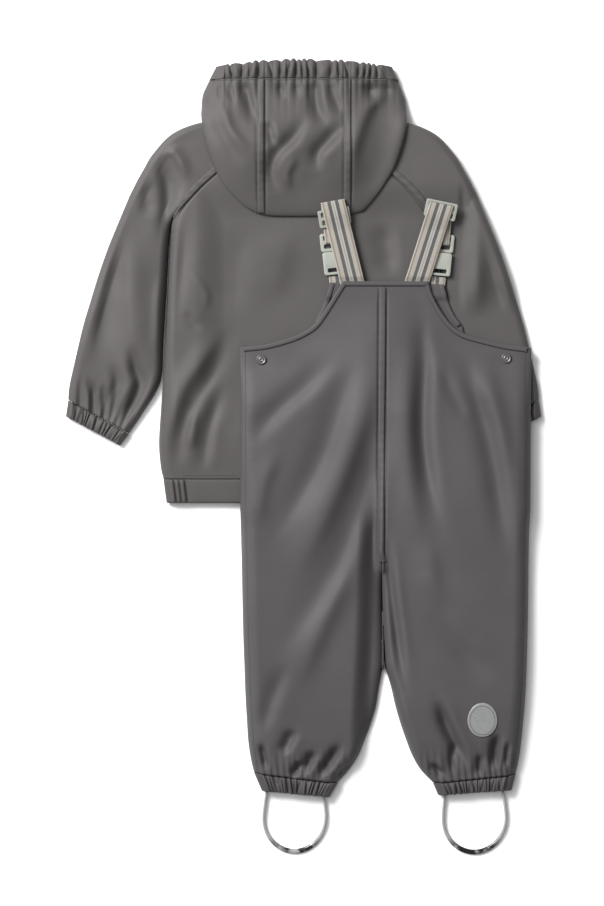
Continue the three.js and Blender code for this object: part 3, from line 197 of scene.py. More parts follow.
def cloth(name, x, y, z, wall=WALL, ring=False):
    """Shell of cloth from a grid of points: the grid is its outer face, the inner lies a wall inside,
    which is towards a point a little below the piece's middle. A ring closes across its columns."""
    face = np.stack([x, y, z], -1)
    if ring:
        wide = np.concatenate([face[:, -1:], face, face[:, :1]], 1)
        across = np.gradient(wide, axis=1)[:, 1:-1]
    else:
        across = np.gradient(face, axis=1)
    normal = np.cross(across, np.gradient(face, axis=0))
    normal /= np.linalg.norm(normal, axis=-1, keepdims=True) + 1e-12
    middle = face.reshape(-1, 3).mean(0) - (0, 0, 5)
    outwards = np.sign((normal * (face - middle)).sum())
    inner = face - normal * wall * outwards
    rows, columns = x.shape
    spans = columns if ring else columns - 1
    j, i = np.meshgrid(np.arange(rows - 1), np.arange(spans), indexing="ij")
    k = (i + 1) % columns
    count = rows * columns
    a, b = j * columns + i, j * columns + k
    c, d = (j + 1) * columns + k, (j + 1) * columns + i
    top = np.stack([a, b, c, d], -1).reshape(-1, 4)
    faces = [top, top[:, ::-1] + count]
    i = np.arange(spans)
    k = (i + 1) % columns
    last = (rows - 1) * columns
    faces.append(np.stack([i + count, k + count, k, i], -1))
    faces.append(np.stack([last + i, last + k, last + k + count, last + i + count], -1))
    if not ring:
        j = np.arange(rows - 1) * columns
        n = j + columns
        faces.append(np.stack([j, n, n + count, j + count], -1))
        e = columns - 1
        faces.append(np.stack([j + e + count, n + e + count, n + e, j + e], -1))
    faces = np.concatenate(faces)
    points = np.concatenate([face.reshape(-1, 3), inner.reshape(-1, 3)]) * 0.001
    corner = points[faces]
    volume = np.einsum("ij,ij->i", corner[:, 0], np.cross(corner[:, 1], corner[:, 2])).sum()
    volume += np.einsum("ij,ij->i", corner[:, 0], np.cross(corner[:, 2], corner[:, 3])).sum()
    if volume < 0:
        faces = faces[:, ::-1]
    u, v = np.meshgrid(np.linspace(0, 1, columns), np.linspace(0, 1, rows))
    flat = np.tile(np.stack([u, v], -1).reshape(-1, 2), (2, 1))
    mesh = bpy.data.meshes.new(name)
    mesh.from_pydata(points.tolist(), [], faces.tolist())
    mesh.uv_layers.new(name="cut").data.foreach_set("uv", flat[faces.ravel()].ravel())
    mesh.update()
    return link_object(name, mesh)


def link_object(name, mesh, smooth=True):
    mesh.polygons.foreach_set("use_smooth", np.full(len(mesh.polygons), smooth))
    made = bpy.data.objects.new(name, mesh)
    bpy.context.scene.collection.objects.link(made)
    return made


def place_node(tree, kind, *inputs, **values):
    """A node with its properties, its inputs in order and its inputs by name, which has a capital. A
    socket is linked, a plain value is set, and None is passed over."""
    made = tree.nodes.new(kind)
    for name, value in values.items():
        if name[0].islower():
            setattr(made, name, value)
    named = [(name.replace("_", " "), value) for name, value in values.items() if name[0].isupper()]
    for place, value in [*enumerate(inputs), *named]:
        if isinstance(value, bpy.types.NodeSocket):
            tree.links.new(value, made.inputs[place])
        elif value is not None:
            made.inputs[place].default_value = value
    return made


def object_place(tree):
    return place_node(tree, "ShaderNodeTexCoord").outputs["Object"]


def noise(tree, place, scale, detail=2.0, **values):
    made = place_node(tree, "ShaderNodeTexNoise", Vector=place, Scale=scale, Detail=detail, **values)
    return made.outputs[0]


def cells(tree, place, scale, **values):
    made = place_node(tree, "ShaderNodeTexVoronoi", Vector=place, Scale=scale, **values)
    return made.outputs["Distance"]


def maths(tree, operation, *inputs):
    return place_node(tree, "ShaderNodeMath", *inputs, operation=operation).outputs[0]


def spread(tree, value, low, high, from_low=0, from_high=1):
    return place_node(tree, "ShaderNodeMapRange", value, from_low, from_high, low, high).outputs[0]


def mix(tree, share, first, second, **values):
    made = place_node(tree, "ShaderNodeMix", share, *5 * [None], first, second, data_type="RGBA", **values)
    return made.outputs[2]


def dented(tree, height, strength, distance):
    made = place_node(tree, "ShaderNodeBump", Strength=strength, Distance=distance, Height=height)
    return made.outputs[0]


def new_material(name):
    made = bpy.data.materials.new(name)
    made.use_nodes = True
    made.node_tree.nodes.clear()
    return made, made.node_tree


def finish_material(tree, colour, roughness, normal, **plain):
    """Principled shader with even values set on its own sockets."""
    shader = place_node(
        tree, "ShaderNodeBsdfPrincipled", Base_Color=colour, Roughness=roughness, Normal=normal, **plain
    )
    place_node(tree, "ShaderNodeOutputMaterial", shader.outputs[0])


# Matt coated surface: broad unevenness of tone, the backing's fine knit showing through, and grain
coating = bpy.data.node_groups.new("coated surface", "ShaderNodeTree")
for label, kind, value in (
    ("Dark", "NodeSocketColor", (0.07, 0.068, 0.066, 1)),
    ("Light", "NodeSocketColor", (0.12, 0.117, 0.114, 1)),
    ("Dull", "NodeSocketFloat", 0.5),
):
    coating.interface.new_socket(label, in_out="INPUT", socket_type=kind).default_value = value
for label, kind in (("Colour", "Color"), ("Roughness", "Float"), ("Normal", "Vector")):
    coating.interface.new_socket(label, in_out="OUTPUT", socket_type="NodeSocket" + kind)
given = coating.nodes.new("NodeGroupInput").outputs
spot = object_place(coating)
broad = noise(coating, spot, 9.0, 4.0, Roughness=0.55)
grain = noise(coating, spot, 900.0, 3.0, Roughness=0.6)
knit = cells(coating, spot, 1500.0)
reach = spread(coating, maths(coating, "MULTIPLY_ADD", grain, 0.35, broad), 0, 1, 0.42, 0.95)
place_node(
    coating,
    "NodeGroupOutput",
    mix(coating, reach, given["Dark"], given["Light"]),
    maths(coating, "MULTIPLY_ADD", reach, -0.1, given["Dull"]),
    dented(coating, maths(coating, "MULTIPLY_ADD", knit, 0.5, grain), 0.35, 0.00012),
)


def coated(name, dark, light):
    made, tree = new_material(name)
    surface = place_node(tree, "ShaderNodeGroup", node_tree=coating)
    for label, value in (("Dark", (*dark, 1)), ("Light", (*light, 1)), ("Dull", 0.68)):
        surface.inputs[label].default_value = value
    finish_material(tree, *surface.outputs[:3], Specular_IOR_Level=0.24, Sheen_Weight=0.02)
    return made


jacket_fabric = coated("jacket coated fabric", (0.052, 0.048, 0.0471), (0.0652, 0.0605, 0.0593))


def fit(piece, material, slot, *nodes):
    """Finishes a piece: its material, the body it rides and the nodes it replaces. The slot is not used."""
    piece.data.materials.clear()
    piece.data.materials.append(material)
    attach(piece, "root")
    if nodes:
        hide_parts(*nodes)
    return piece


def crowd(count, amount=0.8):
    """Places from 0 to 1 that stand closer together towards both ends."""
    t = np.linspace(0, 1, count)
    return (1 - amount) * t + amount * (0.5 - 0.5 * np.cos(np.pi * t))


share, level = np.meshgrid(crowd(168), np.linspace(HEM_TOP, NECK, 200))
half = body_half(level)
wide = -half + 2 * half * share
jacket_back = cloth("jacket_back_cloth", wide, level, body_top(wide, level))
fit(jacket_back, jacket_fabric, "rain_fabric", "jacket_back")
for label, side in (("left", -1), ("right", 1)):
    share, level = np.meshgrid(np.linspace(0, 1, 40), np.linspace(HEM_TOP, NECK, 90))
    wide = side * (SEAM / 2 + (body_half(level) - SEAM / 2) * share)
    front = cloth(f"jacket_front_{label}_cloth", wide, level, WALL + 0 * wide)
    fit(front, jacket_fabric, "rain_fabric", f"jacket_front_{label}")
share, level = np.meshgrid(np.linspace(-15, 15, 12), np.linspace(HEM_TOP + 5, NECK - 5, 120))
height = RIM + WALL + 0.12 * pucker(15 - np.abs(share), level, 9, 4)
placket = cloth("front_placket_cloth", share, level, height, 1)
fit(placket, jacket_fabric, "rain_fabric", "front_placket")

# ---------------------------------------------------------------------------------------------------
# Sleeves and cuffs. Each raglan sleeve is one piece of the same cloth, sewn along its slanting seam
# and lying beside the body. Its end is a tunnel of elastic that gathers the cloth into ten puffs.

# Sections of a sleeve, from the neck to the cuff: (seam y, gap from the body, outer x, outer y)
SLEEVE_ROWS = [
    (408, 0.4, 76, 428), (385, 0.4, 128, 423.5), (362, 0.4, 165, 409), (341, 0.4, 189, 384),
    (328, 0.4, 200, 366), (317, 0.4, 208, 352), (308, 0.4, 213, 342), (300, 0.4, 218, 332),
    (290, 0.4, 223.5, 319), (281, 0.6, 229, 306), (245, 1, 245, 267), (210, 1.2, 257, 233),
    (175, 1.4, 267.5, 199), (140, 1.6, 276.5, 169), (105, 1.8, 284, 138), (84, 8.4, 290, 112),
    (65, 19.1, 293.5, 96), (48, 29, 295, 85), (33.5, 37.9, 295.5, 76),
]
SLEEVE_FOLDS = [
    ([(196, 384), (178, 388), (162, 384), (150, 364), (148, 346)], 7, 4.6),
    ([(190, 378), (177, 366), (170, 342), (170, 306), (173, 268)], 11, -8.2),
    ([(206, 352), (196, 330), (192, 300)], 13, -4.4),
    ([(236, 286), (242, 240), (250, 180), (258, 112)], 15, -5.6),
    ([(212, 290), (214, 240), (212, 170), (206, 104)], 15, 4.4),
    ([(216, 150), (211, 116), (206, 92), (224, 52), (232, 34)], 8, -8.6),
    ([(240, 124), (234, 100), (238, 66), (240, 36)], 7, -4.6),
    ([(270, 104), (264, 84), (262, 40)], 5, -6),
    ([(252, 96), (250, 78), (252, 36)], 5, -5.6),
    ([(284, 112), (281, 92), (281, 48)], 4, -4.4),
    ([(178, 236), (180, 190), (180, 130)], 8, 2.6),
]
CUFF_LINE = (219.5, 32.5, 295.5, 75, 230.5, 18, 298.6, 54.8)  # stitched line's ends, free edge's ends
CUFF_GATHERS = 10


def edge_turn(turn, radius, height, belly):
    """Edge of a flattened tube from its top (0) round to the floor (1): how far out, and how high."""
    middle = belly * height
    rise = np.cos(np.pi * turn)
    level = np.where(rise > 0, middle + (height - middle) * rise, middle * (1 + rise))
    return radius * np.sin(np.pi * turn), level


def sleeve_place(side, u, v):
    inner_y = along([row[0] for row in SLEEVE_ROWS], v)
    inner_x = body_half(inner_y) + along([row[1] for row in SLEEVE_ROWS], v)
    outer_x = along([row[2] for row in SLEEVE_ROWS], v)
    outer_y = along([row[3] for row in SLEEVE_ROWS], v)
    width = np.hypot(outer_x - inner_x, outer_y - inner_y)
    ax, ay = (outer_x - inner_x) / width, (outer_y - inner_y) / width
    radius = np.minimum(10, 0.42 * width)
    flat = width - radius
    low_end = 1 - 0.3 * (1 - ramp(40, 190, inner_y))

    def top_at(s):
        x, y = side * (inner_x + ax * s), inner_y + ay * s
        loft = np.maximum(RIM + (body_loft(x, y) - RIM) * low_end, PRESSED - 0.2)
        rise = 1 - side_fold(inner_y) * (1 - rounded(s, np.minimum(11, width * 0.4)))
        fade = np.clip(s / 14, 0, 1) * np.clip((flat - s) / 10, 0, 1)
        free = ramp(178, 215, y) * ramp(192, 204, x) if side > 0 else 1
        near_cuff = 1 - ramp(34, 92, inner_y)
        wave = np.cos(2 * np.pi * CUFF_GATHERS * s / width + 2 * np.sin(inner_y / 15))
        drawn = -1.5 * near_cuff * (0.5 - 0.5 * wave)
        detail = creases(SLEEVE_FOLDS, np.abs(x), y) + drawn
        detail = detail + 1.2 * swell(x, y, 80, 5) + 0.2 * swell(x, y, 32, 6)
        return RIM + (loft - RIM) * rise + detail * fade * free + 0.18 * pucker(s, inner_y, 9, 5)

    over, turning = u <= 1, (u > 1) & (u <= 2)
    out, low = edge_turn(np.clip(u - 1, 0, 1), radius, top_at(flat), 0.4)
    reach = 0.5 * np.clip(u, 0, 1) + 0.5 * (1 - np.cos(np.pi / 2 * np.clip(u, 0, 1)))
    s = np.where(over, flat * reach, np.where(turning, flat + out, flat * (3 - u)))
    z = np.where(over, top_at(np.minimum(s, flat)), np.where(turning, low, 0))
    return side * (inner_x + ax * s), inner_y + ay * s, z


def tube_place(line, heights, radius, u, v):
    """Flattened tube between two lines on the plan: over the top, round an edge, along the floor, round."""
    ax, ay, bx, by, cx, cy, dx, dy = line
    start_x, start_y = ax + (cx - ax) * v, ay + (cy - ay) * v
    end_x, end_y = bx + (dx - bx) * v, by + (dy - by) * v
    width = np.hypot(end_x - start_x, end_y - start_y)
    height = heights[0] + (heights[1] - heights[0]) * v
    out, low = edge_turn(np.clip(u - 1, 0, 1), radius, height, 0.45)
    out_back, low_back = edge_turn(np.clip(4 - u, 0, 1), radius, height, 0.45)
    s = np.select(
        [u <= 1, u <= 2, u <= 3],
        [radius + (width - 2 * radius) * u, width - radius + out, width - radius - (width - 2 * radius) * (u - 2)],
        radius - out_back,
    )
    z = np.select([u <= 1, u <= 2, u <= 3], [height + 0 * s, low, 0 * s], low_back)
    return start_x + (end_x - start_x) / width * s, start_y + (end_y - start_y) / width * s, z


def puffs(place, depth, count, seed):
    """Cloth gathered by elastic, from 0 in the creases to 1 on the puffs: uneven in width and height."""
    draw = np.random.default_rng(seed)
    phase = draw.uniform(0, 6, 3)
    turns = place * count + 0.34 * np.sin(place * 17 + phase[0]) + 0.14 * np.sin(place * 41 + phase[1])
    turns = turns + 0.4 * depth * np.sin(place * 31 + phase[2])
    cell = np.floor(turns).astype(int) % 97
    tall = draw.uniform(0.62, 1, 97)[cell]
    return tall * np.abs(np.sin(np.pi * turns)) ** 0.55


def ring_columns(top, edge, floor):
    return np.concatenate(
        [
            np.linspace(0, 1, top, False),
            np.linspace(1, 2, edge, False),
            np.linspace(2, 3, floor, False),
            np.linspace(3, 4, edge, False),
        ]
    )


def gathered_ring(name, line, heights, radius, gathers, size, seed, panel_top, rows=18):
    """Tunnel of gathered cloth round elastic: puffed over its top, and level with its panel at the seam."""
    u, v = np.meshgrid(ring_columns(gathers * 14, 14, 24), np.linspace(0, 1, rows))
    x, y, z = tube_place(line, heights, radius, u, v)
    seam_x, seam_y, _ = tube_place(line, heights, radius, np.clip(u, 0, 1), 0 * v)
    level = panel_top(seam_x, seam_y) / heights[0]
    ends = [np.where(u <= 2, level[0, gathers * 14 - 1], level[0, 0])]
    z = z * np.where(u <= 1, level * (1 - v) + np.minimum(level, 1.1) * v, np.clip(ends[0], 0.3, 1))
    around = np.clip(u, 0, 1)
    fade = ramp(0, 0.03, around) * ramp(0, 0.03, 1 - around) * (u <= 1)
    puffed = puffs(around, v, gathers, seed)
    crown = 0.4 + 0.6 * np.sqrt(np.clip(1 - (2 * v - 1) ** 2, 0, 1))
    z = z + fade * (size * puffed * crown - size * 0.5 * (1 - crown) - 0.45 * size)
    away = np.array([line[4] - line[0], line[5] - line[1]], float)
    away /= np.hypot(*away)
    scallop = fade * (puffed - 0.6) * 1.3 * v**3
    return cloth(name, x + away[0] * scallop, y + away[1] * scallop, z, ring=True)


def row_places(steps, count):
    """Places along a table of rows, spaced evenly by the steps from row to row."""
    run = np.cumsum([0, *steps])
    return np.interp(np.linspace(0, run[-1], count), run, np.arange(len(run)))


sleeves, sleeve_cuffs = [], []
pairs = zip(SLEEVE_ROWS, SLEEVE_ROWS[1:])
row_place = row_places([np.hypot(b[2] - a[2], b[3] - a[3]) + abs(b[0] - a[0]) for a, b in pairs], 200)
for label, side in (("left", -1), ("right", 1)):
    columns = np.concatenate([np.linspace(0, 1, 56), np.linspace(1, 2, 17)[1:], np.linspace(2, 3, 12)[1:]])
    u, v = np.meshgrid(columns, row_place)
    sleeve = cloth(f"sleeve_{label}_cloth", *sleeve_place(side, u, v))
    sleeves.append(fit(sleeve, jacket_fabric, "rain_fabric", f"sleeve_{label}"))
    line = [value * side if n % 2 == 0 else value for n, value in enumerate(CUFF_LINE)]
    cuff = gathered_ring(
        f"sleeve_cuff_{label}_cloth", line, (11, 10.5), 6, CUFF_GATHERS, 4.8, 11, lambda x, y: 12.5 + 0 * x
    )
    sleeve_cuffs.append(fit(cuff, jacket_fabric, "rain_fabric", f"sleeve_cuff_{label}"))

# ---------------------------------------------------------------------------------------------------
# Hem band. A folded band is sewn round the jacket's lower edge, flat over most of its length, and a
# short stretch at the side is drawn into three deep folds by elastic.

HEM_LINE = (-176, HEM_TOP - SEAM, 176, HEM_TOP - SEAM, -172, -54, 172, -54)
HEM_GATHERED = 20 / 338

top = [np.linspace(0, 0.09, 60, False), np.linspace(0.09, 1, 130, False)]
u, v = np.meshgrid(np.concatenate([*top, ring_columns(1, 14, 30)[1:]]), np.linspace(0, 1, 18))
x, y, z = tube_place(HEM_LINE, (PRESSED - 0.2, 11), 7, u, v)
top = u <= 1
drawn = np.where(top & (u < HEM_GATHERED), np.abs(np.sin(np.pi * 3 * u / HEM_GATHERED)) ** 0.6, 0)
calm = np.where(top, ramp(HEM_GATHERED, 0.1, u) * ramp(0, 0.04, 1 - u), 0)
crown = np.sqrt(np.clip(1 - (2 * v - 1) ** 4, 0, 1))
z = z + 3.4 * drawn * (0.4 + 0.6 * crown)
z = z + calm * (0.7 * crown + 0.12 * pucker(1 - np.abs(2 * v - 1), x, 11, 0.3) + 0.4 * swell(x, y, 60, 8))
hem = fit(cloth("jacket_hem_cloth", x, y, z, ring=True), jacket_fabric, "rain_fabric", "jacket_hem")

# ---------------------------------------------------------------------------------------------------
# Raglan bands. A narrow strip of the same cloth is welded over each seam between body and sleeve, so
# that it stands a little proud and throws a fine shadow.

BAND = 0.8
BAND_WIDTH = 8


def ribbon(name, x, y, dx, dy, width, top_at, columns=9, lift=1.3, crown=0.35):
    """Strip of cloth along a path on a surface. dx, dy point across it, and width may vary."""
    share, _ = np.meshgrid(np.linspace(-0.5, 0.5, columns), y)
    wide = x[:, None] + dx[:, None] * share * np.reshape(width, (-1, 1))
    level = y[:, None] + dy[:, None] * share * np.reshape(width, (-1, 1))
    bow = crown * (1 - (2 * share) ** 4)
    return cloth(name, wide, level, top_at(wide, level) + lift - crown + bow, BAND)


def seam_top(x, y):
    inside = np.minimum(np.abs(x), body_half(y) - 0.01)
    return body_top(np.sign(x) * inside, y)


RAGLAN_LOW, RAGLAN_HIGH = 303, 398
level = np.linspace(RAGLAN_LOW, RAGLAN_HIGH, 110)
lean = (body_half(level + 1) - body_half(level - 1)) / 2
size = np.hypot(lean, 1)
width = 3.4 + (BAND_WIDTH - 3.4) * ramp(0, 0.35, (level - RAGLAN_LOW) / 95)
for label, side in (("left", -1), ("right", 1)):
    x = side * (body_half(level) + 0.2)
    band = ribbon(f"raglan_band_{label}_cloth", x, level, side / size, -lean / size, width, seam_top)
    fit(band, jacket_fabric, "rain_fabric", f"raglan_band_{label}")

# ---------------------------------------------------------------------------------------------------
# Hood. Three panels, a centre and two sides, are joined by raised bands. The hood lies filled out on
# the jacket's back with its mouth up, and elastic gathers the mouth's tunnel into twenty-two puffs.

CASING = 476.5
HOOD_SEAMS = (-53, 55)
# Outline from the left end of the tunnel, round the bottom, to its right end: (x, y)
HOOD_OUTLINE = [
    (-118.6, 476.5), (-126.4, 459), (-128.2, 442), (-127.6, 425.5), (-121, 390), (-106, 354),
    (-93, 336), (-78, 321), (-66, 313), (-53, 308), (-40, 305.5), (-10, 304.8), (19, 305.2),
    (40, 305.8), (55, 307), (66, 309.5), (77, 314), (94, 334), (104, 349), (113.5, 364),
    (122, 386), (128, 410), (129, 428), (128, 451), (118.6, 476.5),
]
HOOD_FOLDS = [
    ([(-80, 500), (-73, 466), (-66, 440), (-59, 412)], 7, -7.4),
    ([(-112, 456), (-100, 436), (-88, 406), (-64, 384)], 7, 3.2),
    ([(-118, 440), (-106, 414), (-90, 386), (-70, 362)], 9, -3.4),
    ([(-96, 496), (-92, 462), (-86, 440)], 5, -5),
    ([(-108, 496), (-106, 464), (-104, 446)], 4.5, -4.6),
    ([(-31, 500), (-28, 462), (-24, 446)], 5, -6),
    ([(-44, 424), (-42, 408), (-37, 388)], 6, -5),
    ([(4, 432), (-4, 416), (-14, 400), (-34, 380), (-40, 358), (-28, 330)], 8, -7),
    ([(-8, 380), (-20, 356), (-16, 334)], 6, 2.4),
    ([(54, 424), (44, 412), (29, 396), (17, 380), (18, 356)], 8, -7.2),
    ([(14, 500), (14, 464), (18, 436), (30, 412)], 8, -8.6),
    ([(34, 496), (37, 460), (42, 444), (49, 424)], 6, -4.6),
    ([(84, 500), (84, 464), (90, 440)], 7, -6.4),
    ([(112, 478), (98, 458), (78, 434), (62, 384), (60, 350)], 9, 4.6),
    ([(106, 496), (106, 468), (108, 452)], 5, -4.4),
    ([(-10, 500), (-8, 466), (-6, 446)], 5, -4),
]
hood_rows = np.linspace(0, len(HOOD_OUTLINE) - 1, 260)
hood_line_x = along([point[0] for point in HOOD_OUTLINE], hood_rows)
hood_line_y = along([point[1] for point in HOOD_OUTLINE], hood_rows)
hood_line = list(zip(hood_line_x[::3], hood_line_y[::3]))


def hood_base(x, y):
    return 1.5 + (body_loft(x, y) + SEAM - 1.5) * (1 - ramp(418, 448, y))


def hood_top(x, y):
    rim = hood_base(x, y) + WALL + SEAM
    full = 22.5 + 15.5 * ramp(312, 392, y) - 11 * ramp(392, 476, y)
    rise = rounded(far(hood_line, x, y), 46)
    fade = rise**3 * np.clip((CASING - y) / 12, 0.25, 1)
    near = np.exp(-((CASING - y) / 22) ** 1.4)
    drawn = 3.4 * near * (puffs((x + 118) / 236, 0, 22, 21) - 0.6) * rise
    detail = creases(HOOD_FOLDS, x, y) + 1.2 * swell(x, y, 70, 9) + 0.25 * swell(x, y, 28, 10)
    detail = detail - 18 * ramp(52, 122, x) * ramp(306, 350, y)
    seams = sum(0.2 * pucker(x - seam, y, 12, 6) - 1.5 * groove(x - seam, 5) for seam in HOOD_SEAMS)
    valley = 1.4 * np.exp(-(((CASING - y) / 4) ** 2)) * rise
    return rim + (full - rim) * rise + detail * fade + drawn - valley + seams * rise**3


share, climb = np.meshgrid(np.linspace(0, 1, 64), 1 - np.cos(np.linspace(0, np.pi / 2, 100)))
climb = 0.6 * climb + 0.4 * np.linspace(0, 1, 100)[:, None]
x = HOOD_SEAMS[0] + SEAM / 2 + (HOOD_SEAMS[1] - HOOD_SEAMS[0] - SEAM) * share
foot = np.interp(x, hood_line_x[60:], hood_line_y[60:])
y = foot + (CASING - foot) * climb
hood_centre = fit(cloth("hood_centre_cloth", x, y, hood_top(x, y)), jacket_fabric, "rain_fabric", "hood_centre")

hood_sides, hood_bands = [], []
for label, side, seam, start in (("left", -1, HOOD_SEAMS[0], 9), ("right", 1, HOOD_SEAMS[1], 14)):
    v = np.linspace(0, 1, 110)
    place = start + side * (0.035 + 0.965 * v) * (9 if side < 0 else 10)
    edge_x = along([point[0] for point in HOOD_OUTLINE], place)[:, None]
    edge_y = along([point[1] for point in HOOD_OUTLINE], place)[:, None]
    foot = HOOD_OUTLINE[start][1] + 0.4
    seam_y = foot + (CASING - foot) * (0.6 * (1 - np.cos(v * np.pi / 2)) + 0.4 * v)[:, None]
    share = np.sin(np.linspace(0, np.pi / 2, 52))[None, :] * 0.6 + np.linspace(0, 1, 52)[None, :] * 0.4
    x = seam + side * SEAM / 2 + (edge_x - seam - side * SEAM / 2) * share
    y = seam_y + (edge_y - seam_y) * share
    panel = cloth(f"hood_side_{label}_cloth", x, y, hood_top(x, y))
    hood_sides.append(fit(panel, jacket_fabric, "rain_fabric", f"hood_side_{label}"))
    level = np.linspace(308.6, CASING - 1, 140)
    straight = np.ones(len(level))
    band = ribbon(f"hood_band_{label}_cloth", seam * straight, level, straight, 0 * level, BAND_WIDTH, hood_top)
    hood_bands.append(fit(band, jacket_fabric, "rain_fabric", f"hood_band_{label}"))

# Underside of the hood on the jacket's back, and the throat that lies on the floor above the neck
share, level = np.meshgrid(np.linspace(0, 1, 40), np.linspace(311, 407, 40))
left = np.interp(level, [311, 322, 340, 362, 385, 407], [-56, -76, -88, -88, -74, -58])
right = np.interp(level, [311, 322, 340, 362, 385, 407], [60, 80, 90, 90, 74, 58])
wide = left + (right - left) * share
under_top = body_loft(wide, level) + 0.5 + WALL
hood_under = fit(cloth("hood_under_cloth", wide, level, under_top), jacket_fabric, "rain_fabric", "hood_under")
share, level = np.meshgrid(np.linspace(0, 1, 40), np.linspace(408.4, 476, 30))
half = np.interp(level, [408.4, 428.6, 434, 445, 459, 476], [64.2, 74.5, 104, 124, 125.5, 118])
wide = half * (2 * share - 1)
hood_throat = cloth("hood_throat_cloth", wide, level, WALL + 0 * wide)
fit(hood_throat, jacket_fabric, "rain_fabric", "hood_throat")

HOOD_GATHERS = 22
u, v = np.meshgrid(ring_columns(HOOD_GATHERS * 14, 20, 40), np.linspace(0, 1, 20))
x, _, z = tube_place((-118.4, 0, 118.4, 0, -110, 0, 111.5, 0), (27, 23), 14, u, v)
around = np.clip(u, 0, 1)
fade = ramp(0, 0.02, around) * ramp(0, 0.02, 1 - around) * (u <= 1)
puffed = puffs((x + 118) / 236, v, HOOD_GATHERS, 21)
crown = np.sin(np.pi * v**0.9)
level = hood_top(x, CASING + 0 * x) / 27
corner = np.where(u <= 2, level[0, HOOD_GATHERS * 14 - 1], level[0, 0])
z = z * np.where(u <= 1, level, np.clip(corner, 0.4, 1))
z = z + fade * (6 * puffed * crown - 1.6 * crown - 3 * ramp(0.5, 1, v))
y = CASING + 0.2 + (501.5 - 0.0007 * x * x - CASING - 0.2 + fade * 4.2 * (puffed - 0.72)) * v
hood_edge = fit(cloth("hood_edge_cloth", x, y, z, ring=True), jacket_fabric, "rain_fabric", "hood_edge")

# ---------------------------------------------------------------------------------------------------
# Bib dungarees. Left and right halves, each with a back and a front, are cut from the same coated
# cloth in a slightly cooler tone. The legs taper to gathered cuffs and the bib has rounded armholes.

ON_JACKET = PRESSED + SEAM
# From the bib's top down: outer edge of the left half, inner edges and their height, outer right edge
DUNGAREE_ROWS = [
    (49, 223.6, 99, 99, 223.6, 156.6, 223.5), (38.5, 207, 99, 99, 207, 161.4, 206),
    (24.6, 185, 99, 99, 188, 174, 183.5), (12.5, 169, 99, 99, 173, 187.5, 167),
    (-5, 158, 98.9, 98.9, 161, 203, 157.5), (-27, 150, 98.8, 98.8, 151, 224, 151.5),
    (-51, 144.3, 98.7, 98.7, 142, 253.5, 144.5), (-79.6, 141.4, 98.5, 98.5, 132, 285, 140.3),
    (-79.6, 118, 98.2, 98.2, 112, 285, 118), (-79.5, 86, 97.6, 97.6, 82, 284.9, 86),
    (-79.5, 50, 96.9, 96.9, 47, 284.8, 50), (-79.4, 10, 96.3, 96.3, 9, 284.6, 10),
    (-79.4, -30, 95.9, 95.9, -30, 284.4, -30), (-79.3, -58, 96.3, 96.3, -58, 284.2, -58),
    (-79, -76, 96.8, 96.8, -76, 283.8, -76), (-78.6, -96, 97.2, 97.2, -96, 283.4, -96),
    (-78, -118, 97.9, 97.9, -120, 283, -118), (-77.5, -142, 98.2, 98.2, -144, 282.7, -142),
    (-77, -170, 98.8, 98.8, -172, 282.4, -170), (-76.3, -200, 99.4, 99.7, -201, 282, -200),
    (-75.5, -230, 100.2, 100.8, -231, 281.3, -230), (-74.4, -258, 100.2, 101.9, -258, 280.6, -258),
    (-73.5, -285, 95, 110, -286, 279.4, -285), (-72.4, -308, 91, 115.6, -310, 278, -308),
    (-71, -330, 84.5, 122, -332, 276, -330), (-69.8, -350, 76.8, 129, -352, 274, -350),
    (-67.5, -368, 69, 136.5, -371, 271.8, -368), (-65, -381, 57.5, 147, -389, 269.3, -382),
    (-62.3, -392, 43, 162.6, -405, 266.5, -394),
]
SIDE_ROW = 7
CROTCH_ROW = 17
STUDS = {"left": (-52.9, 125.6), "right": (253.5, 127.3)}
